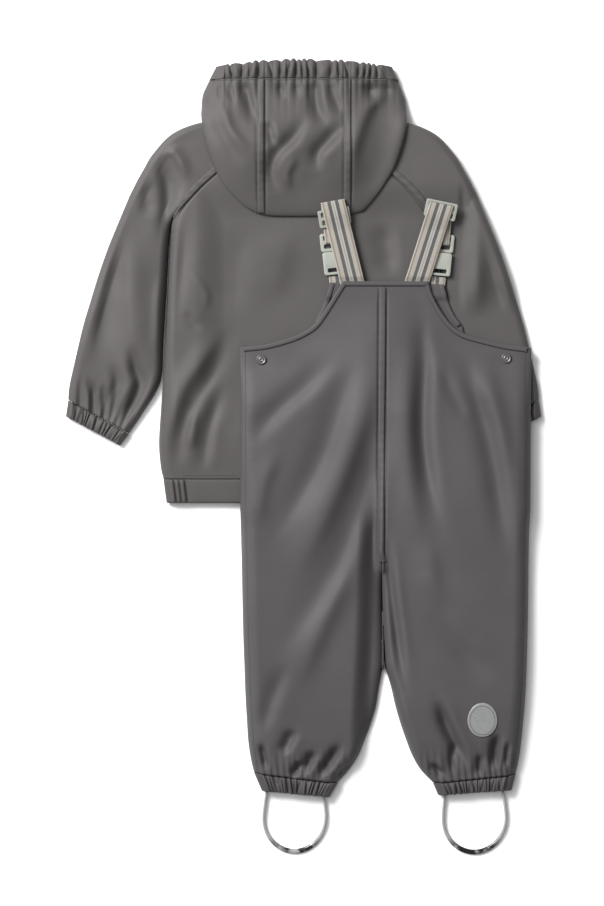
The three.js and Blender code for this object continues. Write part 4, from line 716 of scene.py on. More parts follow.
# Height of the back over the floor, and of the bib's edge over the front bib: (y, z)
BACK_LEVEL = [
    (-405, 17), (-385, 20), (-350, 23.6), (-310, 26), (-258, 27),
    (-140, 27), (-60, 29), (60, 29), (150, 25), (224, 21.5),
]
BIB_RIM = [(116, 1.5), (134, 2.9), (150, 3.4), (170, 4.8), (200, 6.1), (224, 7)]
DUNGAREE_FOLDS = [
    ([(40, 134), (8, 98), (-23, 72), (-50, 44), (-72, 12)], 13, -6),
    ([(70, 150), (56, 110), (34, 32), (6, -28), (-50, -112)], 16, -5.4),
    ([(88, 140), (82, 100), (64, 28), (22, -76), (-24, -164)], 18, 6.4),
    ([(90, 60), (82, 10), (62, -76), (28, -160), (-30, -240)], 15, -5.6),
    ([(62, -110), (40, -164), (12, -230), (-14, -290)], 16, 4.8),
    ([(94, 20), (89, -20), (84, -60), (80, -110)], 10, -5),
    ([(-30, 20), (-50, -30), (-60, -90)], 12, 3),
    ([(-20, -250), (-40, -300), (-56, -350)], 10, -3.6),
    ([(150, 190), (149, 150), (151, 110), (149, 40), (156, -24), (170, -90)], 10, -9),
    ([(128, 150), (127, 100), (130, -10), (146, -120)], 15, 4.6),
    ([(198, 140), (210, 94), (232, 24), (248, -76), (256, -130)], 12, -7.5),
    ([(170, 118), (186, 84), (206, 44)], 8, -2.8),
    ([(222, 130), (240, 60), (256, -20)], 12, 3),
    ([(104, -90), (108, -150), (116, -215), (126, -286)], 6.5, -9),
    ([(156, -140), (176, -190), (206, -240), (240, -280)], 15, -5),
    ([(150, -80), (164, -160), (200, -222), (244, -262)], 14, 4),
    ([(166, -296), (179, -331), (196, -366), (204, -390)], 7, -11.9),
    ([(243, -340), (240, -366), (238, -390)], 6, -10.9),
    ([(158, -378), (168, -388), (178, -396)], 4.5, -7.1),
    ([(-54, -352), (-49, -372), (-46, -390)], 5, -8.5),
    ([(-11, -335), (-19, -352), (-28, -370)], 7, -7.1),
    ([(-3, -376), (-9, -388), (-15, -398)], 5, -8.5),
    ([(15, -362), (6, -380), (-2, -396)], 6, -9.5),
    ([(47, -354), (34, -376), (18, -398)], 6, -9.5),
    ([(60, -378), (48, -392), (36, -402)], 4.5, -7.1),
    ([(190, -352), (186, -376), (188, -396)], 5, -6.1),
    ([(222, -366), (220, -384), (220, -398)], 5, -7.1),
    ([(256, -350), (254, -370), (252, -388)], 4, -6.1),
]
side_rows = np.linspace(SIDE_ROW, len(DUNGAREE_ROWS) - 1, 70)
hole_rows = np.linspace(0, SIDE_ROW, 60)
fork_rows = np.linspace(CROTCH_ROW, len(DUNGAREE_ROWS) - 1, 44)


def dungaree_column(n, at):
    return along([row[n] for row in DUNGAREE_ROWS], at, (SIDE_ROW, 21))


side_lines = [list(zip(dungaree_column(n, side_rows), dungaree_column(n + 1, side_rows))) for n in (0, 5)]
hole_lines = [list(zip(dungaree_column(n, hole_rows), dungaree_column(n + 1, hole_rows))) for n in (0, 5)]
fork_lines = [list(zip(dungaree_column(n, fork_rows), dungaree_column(4, fork_rows))) for n in (2, 3)]
bib_line = hole_lines[0][::-1] + hole_lines[1]


def dungaree_base(y):
    return ON_JACKET * ramp(-96, -58, y)


def dungaree_top(x, y):
    edge = dungaree_base(y) + np.interp(y, *zip(*BIB_RIM))
    full = np.interp(y, *zip(*BACK_LEVEL))
    at_side = np.minimum(far(side_lines[0], x, y), far(side_lines[1], x, y))
    side = rounded(at_side, 20)
    at_fork = np.where(x < 99, far(fork_lines[0], x, y), far(fork_lines[1], x, y))
    legs = 1 - (1 - ramp(-168, -120, y)) * (1 - rounded(at_fork, 14))
    # The left leg falls off steeply towards its inner side, and rises again to the centre seam
    sunk = 1 - ramp(0, 25, np.interp(-y, [40, 230, 340], [94, 88, 82]) - x)
    sunk = sunk * (1 - ramp(86, 98, x) * ramp(-150, -110, y)) * (1 - ramp(-90, 0, y)) * ramp(-396, -340, y)
    legs = legs * (1 - 0.58 * sunk * (x < 99))
    at_bib = far(bib_line, x, y)
    bib = ramp(0, 62, 224 - y) * ramp(0, 75, far(hole_lines[0], x, y)) * ramp(0, 75, far(hole_lines[1], x, y))
    bib = 0.15 + 0.85 * bib
    at_cuff = np.clip((y + 412) / 14, 0.3, 1)
    fade = side**2 * legs**2 * ramp(0, 40, at_bib) * at_cuff
    centre = (0.15 * pucker(x - 98, y, 13, 6) - 1.7 * groove(x - 99 + 0.008 * (212 - y), 4.9)) * ramp(-150, -120, y)
    side_pucker = 0.15 * pucker(at_side - 7, y, 14, 6) * ramp(0, 6, at_side) - 0.6 * groove(at_side - 7, 0)
    studs = sum(-1.2 * np.exp(-(np.hypot(x - a, y - b) / 12) ** 2) for a, b in STUDS.values())
    wave = np.cos(2 * np.pi * x / 8.1 + 2.2 * np.sin(x / 19) + y / 14)
    drawn = -2.2 * (1 - ramp(-400, -352, y)) * (0.5 - 0.5 * wave)
    detail = creases(DUNGAREE_FOLDS, x, y) + 1.4 * swell(x, y, 115, 12) + 0.22 * swell(x, y, 40, 13) + drawn
    return edge + (full - edge) * side * legs * bib + detail * fade + (centre + side_pucker + studs) * fade


def front_top(x, y):
    """Top of the front sheet: it rises over the end of each brace's tab, which is sewn beneath it."""
    over_tab = ramp(198, 206, y) * np.maximum(ramp(72, 65, x), ramp(138, 145, x))
    return dungaree_base(y) + WALL + 2.8 * over_tab


dungaree_fabric = coated("dungaree coated fabric", (0.050, 0.0465, 0.0481), (0.0627, 0.0588, 0.0608))
pairs = zip(DUNGAREE_ROWS, DUNGAREE_ROWS[1:])
row_place = row_places([np.hypot(b[0] - a[0], b[1] - a[1]) for a, b in pairs], 330)
dungaree_backs, dungaree_fronts = [], []
for label, side, outer in (("left", -1, 0), ("right", 1, 5)):
    inner = 2 if side < 0 else 3
    edge_x, edge_y, mid_x, mid_y = (
        dungaree_column(column, row_place)[:, None] for column in (outer, outer + 1, inner, 4)
    )
    mid_x = mid_x + side * SEAM / 2
    share = crowd(92)[None, :]
    x, y = edge_x + (mid_x - edge_x) * share, edge_y + (mid_y - edge_y) * share
    back = cloth(f"dungaree_back_{label}_cloth", x, y, dungaree_top(x, y))
    dungaree_backs.append(fit(back, dungaree_fabric, "rain_fabric", f"dungaree_back_{label}"))
    # The front bib stands out beyond the back bib's armhole
    front_x = [(33, 27.6, 20.8, 12.3), (176, 181, 190, 199)][side > 0]
    front_y = [(222, 203.5, 186, 169.5), (219.5, 199, 180, 168)][side > 0]
    lower = DUNGAREE_ROWS[4:]
    edge_x = along([*front_x, *(row[outer] for row in lower)], row_place, (SIDE_ROW,))[:, None]
    edge_y = along([*front_y, *(row[outer + 1] for row in lower)], row_place, (SIDE_ROW,))[:, None]
    share = np.linspace(0, 1, 40)[None, :]
    x, y = edge_x + (mid_x - edge_x) * share, edge_y + (mid_y - edge_y) * share
    front = cloth(f"dungaree_front_{label}_cloth", x, y, front_top(x, y))
    dungaree_fronts.append(fit(front, dungaree_fabric, "rain_fabric", f"dungaree_front_{label}"))

# ---------------------------------------------------------------------------------------------------
# Centre band and bib bindings. A welded strip covers the centre back seam. The bib's top and both
# armholes are bound with a folded strip of the same cloth, on the back bib and on the front bib.

BINDING = 6.5
level = np.linspace(216, -128, 260)
centre_x = np.interp(-level, [-row[4] for row in DUNGAREE_ROWS], [row[2] for row in DUNGAREE_ROWS])
centre_x = centre_x + np.where(level < -90, 0.8 * np.sin(level / 4.2) * (1 - ramp(-128, -90, level)), 0)
straight = np.ones(len(level))
centre_band = ribbon(
    "dungaree_centre_band_cloth", centre_x, level, straight, 0 * level, BAND_WIDTH, dungaree_top
)
fit(centre_band, dungaree_fabric, "rain_fabric", "dungaree_centre_band")


def bound_path(points, sign, step=2.4):
    """A path resampled evenly, with directions square to it on one side."""
    points = np.asarray(points, float)
    run = np.cumsum([0, *np.hypot(*np.diff(points, axis=0).T)])
    at = np.linspace(0, run[-1], max(6, int(run[-1] / step)))
    x, y = np.interp(at, run, points[:, 0]), np.interp(at, run, points[:, 1])
    tx, ty = np.gradient(x), np.gradient(y)
    size = np.hypot(tx, ty)
    return x, y, sign * ty / size, -sign * tx / size


def binding(name, points, sign, top_at):
    x, y, dx, dy = bound_path(points, sign)
    return ribbon(name, x + dx * BINDING / 2, y + dy * BINDING / 2, dx, dy, BINDING, top_at, 11, 1.6, 1.3)


inset = np.array(bib_line, float)
inset[0, 0] += 4
inset[-1, 0] -= 4
back_binding = binding("bib_binding_back_cloth", inset, 1, dungaree_top)
fit(back_binding, dungaree_fabric, "rain_fabric", "bib_binding_back")
front_paths = {
    "left": ([(33, 221.6), (30.6, 213), (27.9, 204), (24.6, 194.6), (20.8, 186), (13.5, 171.8)], -1),
    "right": ([(176, 219.2), (178.4, 210), (180.8, 200), (185, 189.6), (190, 180), (197.5, 170)], 1),
}
for label, (points, sign) in front_paths.items():
    strip = binding(f"bib_binding_front_{label}_cloth", points, sign, front_top)
    fit(strip, dungaree_fabric, "rain_fabric", f"bib_binding_front_{label}")

# ---------------------------------------------------------------------------------------------------
# Leg cuffs and foot loops. Elastic gathers each leg's end. A round loop of clear polyurethane cord is
# sewn into each cuff at both ends, goes under the boot, and lies here on the floor.

LEG_CUFFS = {
    "left": ((-62, -392.6, 43, -405.6, -52.4, -415, 33, -423), 14, 31),
    "right": ((162.6, -405.7, 266.3, -394.7, 169, -420.5, 261.5, -414), 15, 32),
}
for label, (line, gathers, seed) in LEG_CUFFS.items():
    cuff = gathered_ring(f"leg_cuff_{label}_cloth", line, (15.5, 14.5), 8, gathers, 5, seed, dungaree_top)
    fit(cuff, dungaree_fabric, "rain_fabric", f"leg_cuff_{label}")

clear_cord, tree = new_material("clear polyurethane cord")
spot = object_place(tree)
haze = noise(tree, spot, 60.0)
along_suit = place_node(tree, "ShaderNodeSeparateXYZ", spot).outputs[1]
# Painted reflection: towards the bottom of each loop the cord's colour turns near-black in patchy streaks, in place
# of the dark room mirrored in the clear cord.
at_bottom = spread(tree, along_suit, 0, 1, -0.474, -0.486)
painted_dark_reflection = maths(tree, "MULTIPLY", at_bottom, spread(tree, haze, 0, 1, 0.36, 0.46))
tint = mix(tree, painted_dark_reflection, (0.38, 0.39, 0.39, 1), (0.008, 0.008, 0.009, 1))
smear = spread(tree, haze, 0.04, 0.14)
finish_material(tree, tint, smear, dented(tree, haze, 0.15, 0.0003), Transmission_Weight=0.3, IOR=1.5)

LOOP_RADIUS = 2.4
# Loops: where they leave the cuff, where they return, the lowest point and the half width
FOOT_LOOPS = {
    "left": (-46.2, -416.4, 25.5, -423, -11.3, -492, 39),
    "right": (177.4, -420.7, 250.4, -415.8, 214.6, -493, 39.5),
}
for label, (start_x, start_y, end_x, end_y, low_x, low_y, wide) in FOOT_LOOPS.items():
    waist = low_y + wide + 4
    angle = np.linspace(np.pi, 2 * np.pi, 11)
    bow_x, bow_y = low_x + wide * np.cos(angle), waist + (waist - low_y) * np.sin(angle)
    path_x = [start_x, (start_x + low_x - wide) / 2, *bow_x, (end_x + low_x + wide) / 2, end_x]
    path_y = [start_y, (start_y + waist) / 2 + 4, *bow_y, (end_y + waist) / 2 + 4, end_y]
    at = np.linspace(0, len(path_x) - 1, 150)
    x, y = along(path_x, at), along(path_y, at)
    tx, ty = np.gradient(x), np.gradient(y)
    size = np.hypot(tx, ty)
    turn = np.linspace(0, 2 * np.pi, 20, False)
    broad = 1 + 0.3 * (1 - 2 * ramp(low_y, low_y + 46, y))[:, None]
    ring = np.cos(turn)[None, :] * LOOP_RADIUS * broad
    points = np.stack(
        [
            x[:, None] + (ty / size)[:, None] * ring,
            y[:, None] - (tx / size)[:, None] * ring,
            LOOP_RADIUS / broad + np.sin(turn)[None, :] * LOOP_RADIUS / broad,
        ],
        -1,
    )
    rows, columns = points.shape[:2]
    j, i = np.meshgrid(np.arange(rows - 1), np.arange(columns), indexing="ij")
    k = (i + 1) % columns
    faces = np.stack([j * columns + i, j * columns + k, (j + 1) * columns + k, (j + 1) * columns + i], -1)
    faces = faces.reshape(-1, 4)[:, ::-1].tolist()
    faces += [list(range(columns)), list(range(rows * columns - 1, (rows - 1) * columns - 1, -1))]
    mesh = bpy.data.meshes.new(f"foot_loop_{label}_cord")
    mesh.from_pydata((points.reshape(-1, 3) * 0.001).tolist(), [], faces)
    loop = link_object(f"foot_loop_{label}_cord", mesh)
    fit(loop, clear_cord, "loop_tpu", f"foot_loop_{label}")

# ---------------------------------------------------------------------------------------------------
# Press-studs and reflector. A ringed metal cap closes each end of the bib's side opening. The oval
# reflector is a film of glass beads heat-sealed to the right leg, with a fine ring inside its edge.

stud_metal, tree = new_material("dark lacquered metal")
scuff = noise(tree, object_place(tree), 700.0, 4.0)
tint = mix(tree, scuff, (0.05, 0.049, 0.049, 1), (0.13, 0.127, 0.125, 1))
finish_material(tree, tint, spread(tree, scuff, 0.25, 0.45), dented(tree, scuff, 0.2, 0.0001), Metallic=0.35)

# Cap profile from the middle outwards: (radius, height)
STUD_PROFILE = [
    (0.05, 1.1), (0.9, 1.15), (1.5, 1.5), (2.1, 1.75), (2.7, 1.6), (3.2, 1.05), (3.7, 0.95), (4.3, 1.2),
    (4.9, 1.7), (5.5, 1.75), (5.95, 1.35), (6.25, 0.7), (6.25, 0.05),
]
radius, rise = (np.array(side) for side in zip(*STUD_PROFILE))
turn = np.linspace(0, 2 * np.pi, 48, False)
for label, (stud_x, stud_y) in STUDS.items():
    rim_x, rim_y = stud_x + radius[-1] * np.cos(turn), stud_y + radius[-1] * np.sin(turn)
    seat = np.max(dungaree_top(rim_x, rim_y)) + SEAM
    x = stud_x + radius[:, None] * np.cos(turn)[None, :]
    y = stud_y + radius[:, None] * np.sin(turn)[None, :]
    cap = cloth(f"press_stud_{label}_cap", x, y, seat + rise[:, None] + 0 * x, 0.4, ring=True)
    fit(cap, stud_metal, "stud_metal", f"press_stud_{label}")

REFLECTOR_X, REFLECTOR_Y = 223.3, -325
REFLECTOR_WIDE, REFLECTOR_TALL = 18.7, 21.5  # half sizes
film, tree = new_material("reflective bead film")
spot = object_place(tree)
middle = (-0.001 * REFLECTOR_X, -0.001 * REFLECTOR_Y, 0)
centred = place_node(tree, "ShaderNodeMapping", Vector=spot, Location=middle).outputs[0]
halves = (1000 / REFLECTOR_WIDE, 1000 / 21.55, 0)
squared = place_node(tree, "ShaderNodeVectorMath", centred, halves, operation="MULTIPLY").outputs[0]
out = place_node(tree, "ShaderNodeVectorMath", squared, operation="LENGTH").outputs["Value"]
ring = maths(tree, "COMPARE", out, 0.835, 0.022)
beads = cells(tree, spot, 1400.0)
line = spread(tree, cells(tree, spot, 330.0, feature="DISTANCE_TO_EDGE"), 0, 1, 0.02, 0.07)
shade = mix(tree, line, (0.19, 0.195, 0.192, 1), (0.25, 0.256, 0.253, 1))
marked = mix(tree, ring, shade, (0.09, 0.09, 0.09, 1))
finish_material(tree, marked, spread(tree, beads, 0.3, 0.5), dented(tree, beads, 0.3, 0.0001), Metallic=0.25)

radius, turn = np.meshgrid(np.linspace(0.01, 1, 26), np.linspace(0, 2 * np.pi, 96, False), indexing="ij")
x = REFLECTOR_X + REFLECTOR_WIDE * radius * np.cos(turn)
y = REFLECTOR_Y + (REFLECTOR_TALL + 0.6 * np.sin(turn)) * radius * np.sin(turn)
thick = 1.3 * np.minimum(1, 0.75 + 4 * (1 - radius))
reflector = cloth("reflector_film", x, y, dungaree_top(x, y) + thick, BAND, ring=True)
fit(reflector, film, "reflective_film", "reflector")

# ---------------------------------------------------------------------------------------------------
# Braces. Striped elastic webbing 30 mm wide comes up from the back bib, folds over at its top and
# returns beneath to the adjuster, and side-release buckles of pale plastic join it to the front bib.

STRAP_WIDTH = 30
STRAP = 1.5
# Where each strap leaves the bib, where it folds, and where its return ends
BRACES = {
    "left": (62, 218, 36.6, 321, 42, 272, 303.5, 273.5),
    "right": (140.5, 218, 172, 317.5, 167.3, 270, 312.4, 272),
}
UP_RUN = [(218, 16.9), (224.4, 16.9), (228.6, 19.4), (241, 19.8), (288, 20.2), (321, 27.6)]
DOWN_RUN = [(266, 16.2), (287, 16.2), (294, 16.6), (321, 23)]

webbing, tree = new_material("striped elastic webbing")
flat = place_node(tree, "ShaderNodeUVMap", uv_map="cut").outputs[0]
across = place_node(tree, "ShaderNodeSeparateXYZ", flat).outputs[0]
stripes = place_node(tree, "ShaderNodeValToRGB", maths(tree, "PINGPONG", across, 0.5))
stripes.color_ramp.interpolation = "CONSTANT"
# Stripes from the edge of the webbing to its middle: (place, colour)
STRIPES = [
    (0.0, (0.33, 0.31, 0.28)), (0.045, (0.20, 0.165, 0.13)), (0.11, (0.31, 0.285, 0.25)),
    (0.268, (0.068, 0.066, 0.067)), (0.412, (0.335, 0.32, 0.295)), (0.485, (0.17, 0.145, 0.115)),
]
while len(stripes.color_ramp.elements) < len(STRIPES):
    stripes.color_ramp.elements.new(0.5)
for element, (at, colour) in zip(stripes.color_ramp.elements, STRIPES):
    element.position = at
    element.color = (*colour, 1)
long = place_node(tree, "ShaderNodeMapping", Vector=flat, Scale=(30.0, 170.0, 1.0)).outputs[0]
twill = place_node(tree, "ShaderNodeTexWave", long, Scale=1.1, Distortion=0.6, bands_direction="DIAGONAL")
picks = place_node(tree, "ShaderNodeTexWave", long, Scale=0.9, bands_direction="Y")
yarn = maths(tree, "MULTIPLY", twill.outputs["Fac"], picks.outputs["Fac"])
shade = mix(tree, 1.0, stripes.outputs[0], spread(tree, yarn, 0.82, 1.06), blend_type="MULTIPLY")
dull = spread(tree, yarn, 0.7, 0.9)
finish_material(tree, shade, dull, dented(tree, yarn, 0.6, 0.0003), Sheen_Weight=0.15)

plastic, tree = new_material("pale moulded plastic")
spot = object_place(tree)
cloud = noise(tree, spot, 120.0, 3.0)
tint = mix(tree, cloud, (0.225, 0.238, 0.205, 1), (0.27, 0.282, 0.25, 1))
dent = dented(tree, noise(tree, spot, 2500.0), 0.2, 0.00008)
dull = spread(tree, cloud, 0.32, 0.45)
finish_material(tree, tint, dull, dent, Subsurface_Weight=0.08, Subsurface_Scale=0.004)


UP_ROWS = 44


def strap_rows(foot_x, foot_y, fold_x, fold_y, return_x, return_y):
    """Centre, height and direction across of each row of the strap: up, round the fold, and back."""
    up = np.array([fold_x - foot_x, fold_y - foot_y])
    down = np.array([return_x - fold_x, return_y - fold_y])
    front, back = up / np.hypot(*up), -down / np.hypot(*down)
    fold = (front + back) / np.hypot(*(front + back))
    rows = []
    for rise in np.linspace(0, 86, UP_ROWS):
        rows.append((foot_x + up[0] * rise / up[1], foot_y + rise, 0, front[1], -front[0]))
    top = np.interp(fold_y, *zip(*UP_RUN)) + STRAP
    low = np.interp(fold_y, *zip(*DOWN_RUN))
    radius = (top - low) / 2
    for angle in np.linspace(0, np.pi, 17):
        out = radius * np.sin(angle) * 0.8
        height = low + radius + radius * np.cos(angle)
        rows.append((fold_x + fold[0] * out, fold_y + fold[1] * out, height, fold[1], -fold[0]))
    for share in np.linspace(0, 1, 26)[1:]:
        y = fold_y + down[1] * share
        rows.append((fold_x + down[0] * share, y, np.interp(y, *zip(*DOWN_RUN)), back[1], -back[0]))
    return np.array(rows)


for label, (foot_x, foot_y, fold_x, fold_y, return_x, return_y, *_) in BRACES.items():
    rows = strap_rows(foot_x, foot_y, fold_x, fold_y, return_x, return_y)
    off = np.linspace(-0.5, 0.5, 21)[None, :] * STRAP_WIDTH
    x = rows[:, :1] + rows[:, 3:4] * off
    y = rows[:, 1:2] + rows[:, 4:5] * off
    own = np.interp(y, *zip(*UP_RUN)) + STRAP
    z = np.where(np.arange(len(rows))[:, None] < UP_ROWS, own, rows[:, 2:3])
    strap = cloth(f"brace_{label}_webbing", x, y, z, STRAP)
    fit(strap, webbing, "brace_webbing", f"brace_{label}")


def rounded_plate(width, height, radius, steps=6):
    corners = []
    for cx, cy, start in ((1, -1, -90), (1, 1, 0), (-1, 1, 90), (-1, -1, 180)):
        for angle in np.radians(np.linspace(start, start + 90, steps)):
            corner_x = cx * (width / 2 - radius) + radius * np.cos(angle)
            corners.append((corner_x, cy * (height / 2 - radius) + radius * np.sin(angle)))
    return corners


def moulding(node, width, height, radius, thickness, slots, turn, tilt, middle):
    """Moulded plate with slots and softened edges, turned and tilted to its place."""
    form = bmesh.new()
    outer = [form.verts.new((x, y, 0)) for x, y in rounded_plate(width, height, radius)]
    edges = [form.edges.new((a, b)) for a, b in zip(outer, outer[1:] + outer[:1])]
    for slot_width, slot_height, slot_y in slots:
        hole = rounded_plate(slot_width, slot_height, min(1.2, slot_height / 3), 4)
        ring = [form.verts.new((x, y + slot_y, 0)) for x, y in hole]
        edges += [form.edges.new((a, b)) for a, b in zip(ring, ring[1:] + ring[:1])]
    bmesh.ops.triangle_fill(form, edges=edges, use_beauty=True)
    made = bmesh.ops.extrude_face_region(form, geom=form.faces[:])
    raised = [g for g in made["geom"] if isinstance(g, bmesh.types.BMVert)]
    bmesh.ops.translate(form, verts=raised, vec=(0, 0, thickness))
    bmesh.ops.recalc_face_normals(form, faces=form.faces[:])
    rims = [e for e in form.edges if len(e.link_faces) == 2 and e.calc_face_angle(0) > 1.2]
    rims = [e for e in rims if abs(e.verts[0].co.z - e.verts[1].co.z) < 1e-6]
    bmesh.ops.bevel(form, geom=rims, offset=min(0.7, thickness * 0.3), segments=3, affect="EDGES", profile=0.5)
    mesh = bpy.data.meshes.new(node)
    form.to_mesh(mesh)
    form.free()
    spin = Matrix.Translation(middle) @ Matrix.Rotation(turn, 4, "Z") @ Matrix.Rotation(tilt, 4, "X")
    mesh.transform(Matrix.Scale(0.001, 4) @ spin)
    piece = link_object(f"{node}_plastic", mesh)
    mesh.set_sharp_from_angle(angle=0.9)
    fit(piece, plastic, "buckle_plastic", node)


# Plates: width, height, corner radius, thickness, and their slots: (width, height, y)
ADJUSTER = (40, 22, 2.5, 2, [(32, 6, 5), (32, 6, -5)])
BUCKLE_MALE = (42, 23, 3, 3, [(33, 5.5, 5.5), (33, 5, -5)])
BUCKLE_FEMALE = (40, 29, 3, 5.6, [(30, 5, -8.7)])
# The chain of plastic pieces runs down from the male half, by so many millimetres
FEMALE_BELOW = 26.4
TAB_BELOW = 54
TAB_LENGTH = 24


def run_height(y):
    return np.interp(y, *zip(*DOWN_RUN))


return_tilt = np.arctan2(DOWN_RUN[3][1] - DOWN_RUN[2][1], DOWN_RUN[3][0] - DOWN_RUN[2][0])
for label, (foot_x, foot_y, fold_x, fold_y, return_x, return_y, frame_y, chain_y) in BRACES.items():
    lean = (return_x - fold_x) / (fold_y - return_y)
    turn = np.arctan(lean)
    fold_turn = (turn + np.arctan((foot_x - fold_x) / (fold_y - foot_y))) / 2
    frame_x = return_x + (fold_x - return_x) * (frame_y - return_y) / (fold_y - return_y)
    frame_place = (frame_x, frame_y, run_height(frame_y) + STRAP + 0.68)
    moulding(f"strap_adjuster_{label}", *ADJUSTER, fold_turn, return_tilt, frame_place)
    chain_x = fold_x + lean * (fold_y - chain_y)
    moulding(f"buckle_male_{label}", *BUCKLE_MALE, turn, 0, (chain_x, chain_y, ON_JACKET + 0.1))
    female_place = (chain_x + lean * FEMALE_BELOW, chain_y - FEMALE_BELOW, ON_JACKET + 0.1)
    moulding(f"buckle_female_{label}", *BUCKLE_FEMALE, turn, 0, female_place)
    off, run = np.meshgrid(
        np.linspace(-STRAP_WIDTH / 2, STRAP_WIDTH / 2, 21), np.linspace(-TAB_LENGTH / 2, TAB_LENGTH / 2, 20)
    )
    x = chain_x + lean * TAB_BELOW + off * np.cos(turn) - run * np.sin(turn)
    y = chain_y - TAB_BELOW + off * np.sin(turn) + run * np.cos(turn)
    tab = cloth(f"strap_tab_{label}_webbing", x, y, ON_JACKET + RIM + WALL + 0 * x, WALL)
    fit(tab, webbing, "brace_webbing", f"strap_tab_{label}")

# ---------------------------------------------------------------------------------------------------
# Stitching. Lockstitch in dark grey thread, just under three millimetres a stitch, runs beside the
# bands, along the back bib's binding, the hood's casing and the hem, and inside the side seams.

thread, tree = new_material("dark sewing thread")
ply = noise(tree, object_place(tree), 3000.0)
tint = mix(tree, ply, (0.007, 0.007, 0.007, 1), (0.022, 0.021, 0.021, 1))
finish_material(tree, tint, 0.6, dented(tree, ply, 0.4, 0.0001))

stitching = bpy.data.node_groups.new("stitch run", "GeometryNodeTree")
stitching.is_modifier = True
stitching.interface.new_socket("Seams", in_out="INPUT", socket_type="NodeSocketGeometry")
for label, value in (("Stitch Pitch", 0.0027), ("Stitch Length", 0.0017), ("Thread Width", 0.0009)):
    stitching.interface.new_socket(label, in_out="INPUT", socket_type="NodeSocketFloat").default_value = value
stitching.interface.new_socket("Stitches", in_out="OUTPUT", socket_type="NodeSocketGeometry")
given = stitching.nodes.new("NodeGroupInput").outputs
curve = place_node(stitching, "GeometryNodeMeshToCurve", given["Seams"]).outputs[0]
pitch = given["Stitch Pitch"]
even = place_node(stitching, "GeometryNodeResampleCurve", mode="LENGTH", Curve=curve, Length=pitch)
bead = place_node(stitching, "GeometryNodeMeshIcoSphere", Radius=0.5, Subdivisions=1).outputs[0]
thin = given["Thread Width"]
size = place_node(stitching, "ShaderNodeCombineXYZ", given["Stitch Length"], thin, thin).outputs[0]
drawn = place_node(stitching, "GeometryNodeTransform", Geometry=bead, Scale=size)
tangent = place_node(stitching, "GeometryNodeInputTangent").outputs[0]
aim = place_node(stitching, "FunctionNodeAlignRotationToVector", axis="X", Vector=tangent)
laid = place_node(
    stitching,
    "GeometryNodeInstanceOnPoints",
    Points=even.outputs[0],
    Instance=drawn.outputs[0],
    Rotation=aim.outputs[0],
)
whole = place_node(stitching, "GeometryNodeRealizeInstances", laid.outputs[0])
coloured = place_node(stitching, "GeometryNodeSetMaterial", Geometry=whole.outputs[0], Material=thread)
place_node(stitching, "NodeGroupOutput", coloured.outputs[0])


def stitch(name, runs, pitch=0.0027):
    """Turns seam lines, lists of points in millimetres, into one mesh of laid stitches."""
    points, edges = [], []
    for x, y, z in runs:
        start = len(points)
        points += [(a * 0.001, b * 0.001, c * 0.001) for a, b, c in zip(x, y, z)]
        edges += [(start + n, start + n + 1) for n in range(len(x) - 1)]
    mesh = bpy.data.meshes.new(name + "_line")
    mesh.from_pydata(points, edges, [])
    line = link_object(name + "_line", mesh)
    modifier = line.modifiers.new("stitches", "NODES")
    modifier.node_group = stitching
    for item in stitching.interface.items_tree:
        if item.name == "Stitch Pitch":
            modifier[item.identifier] = pitch
    graph = bpy.context.evaluated_depsgraph_get()
    laid = bpy.data.meshes.new_from_object(line.evaluated_get(graph))
    bpy.data.objects.remove(line)
    piece = link_object(name, laid)
    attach(piece, "root")
    return piece


def run_on(top_at, x, y, lift=0.2):
    return x, y, top_at(x, y) + lift


jacket_runs, hood_runs, dungaree_runs, bib_runs = [], [], [], []
level = np.linspace(303, 398, 60)
lean = (body_half(level + 1) - body_half(level - 1)) / 2
size = np.hypot(lean, 1)
for side in (-1, 1):
    jacket_runs.append(run_on(body_top, side * (body_half(level) - 5.6 / size), level))
x = np.linspace(-150, -84, 60)
jacket_runs.append(run_on(body_top, x, 0 * x - 19.5))
y = np.linspace(312, CASING - 2, 90)
for seam in HOOD_SEAMS:
    for off in (-5.4, 5.4):
        hood_runs.append(run_on(hood_top, seam + off + 0 * y, y))
y = np.linspace(212, -118, 200)
for off in (-5.6, 5.6):
    dungaree_runs.append(run_on(dungaree_top, 99 + off - 0.008 * (212 - y), y))
for n, sign in ((0, 1), (1, -1)):
    line = np.array(side_lines[n])[1:-3]
    dungaree_runs.append(run_on(dungaree_top, line[:, 0] + sign * 7, line[:, 1]))
x = np.linspace(-112, 112, 160)
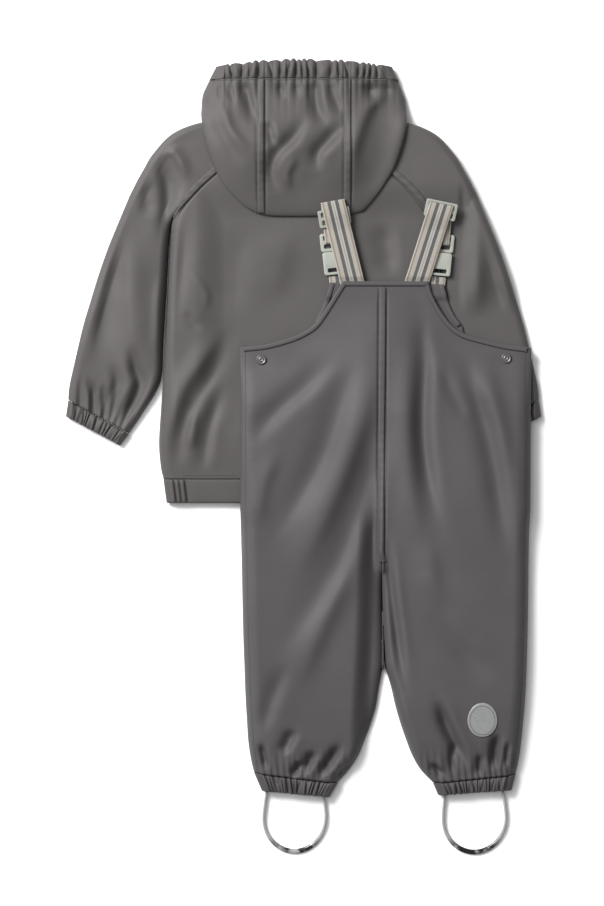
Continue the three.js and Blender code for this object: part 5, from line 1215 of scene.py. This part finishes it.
hood_runs.append(run_on(hood_top, x, CASING - 2 + 0 * x, 0.35))
x, y, dx, dy = bound_path(inset, 1)
bib_runs.append(run_on(dungaree_top, x + dx * (BINDING - 1.2), y + dy * (BINDING - 1.2), 1.5))
jacket_stitches = stitch("jacket_stitches", jacket_runs)
hood_stitches = stitch("hood_stitches", hood_runs)
dungaree_stitches = stitch("dungaree_stitches", dungaree_runs)
bib_stitches = stitch("bib_stitches", bib_runs, 0.0028)

# ---------------------------------------------------------------------------------------------------
# Room. A pale even floor, one large soft light from the upper left and a weaker one from overhead, and
# the camera straight above, as in the photograph.

floor_mesh = bpy.data.meshes.new("floor")
floor_mesh.from_pydata([(-8, -8, 0), (8, -8, 0), (8, 8, 0), (-8, 8, 0)], [], [(0, 1, 2, 3)])
floor = link_object("floor", floor_mesh, False)
floor_paint, tree = new_material("pale floor")
finish_material(tree, (0.9, 0.9, 0.9, 1), 0.9, None, Specular_IOR_Level=0.1)
floor_mesh.materials.append(floor_paint)


def soft_light(name, place, size, power):
    data = bpy.data.lights.new(name, "AREA")
    data.shape = "DISK"
    data.size = size
    data.energy = power
    lamp = bpy.data.objects.new(name, data)
    lamp.location = place
    lamp.rotation_euler = (Vector((0, 0, 0)) - Vector(place)).to_track_quat("-Z", "Y").to_euler()
    bpy.context.scene.collection.objects.link(lamp)


soft_light("key", (-2.1, 1.9, 2.4), 1.8, 266)
soft_light("fill", (-1.3, 0.7, 3.2), 2.4, 36)
world = bpy.data.worlds.new("room")
world.use_nodes = True
world.node_tree.nodes["Background"].inputs["Color"].default_value = (1, 1, 1, 1)
world.node_tree.nodes["Background"].inputs["Strength"].default_value = 0.40
bpy.context.scene.world = world
bpy.context.scene.view_settings.view_transform = "Standard"

lens = bpy.data.cameras.new("camera")
lens.lens = 100
camera = bpy.data.objects.new("camera", lens)
camera.location = (-0.0019, 0.00875, 3.166)
bpy.context.scene.collection.objects.link(camera)
bpy.context.scene.camera = camera
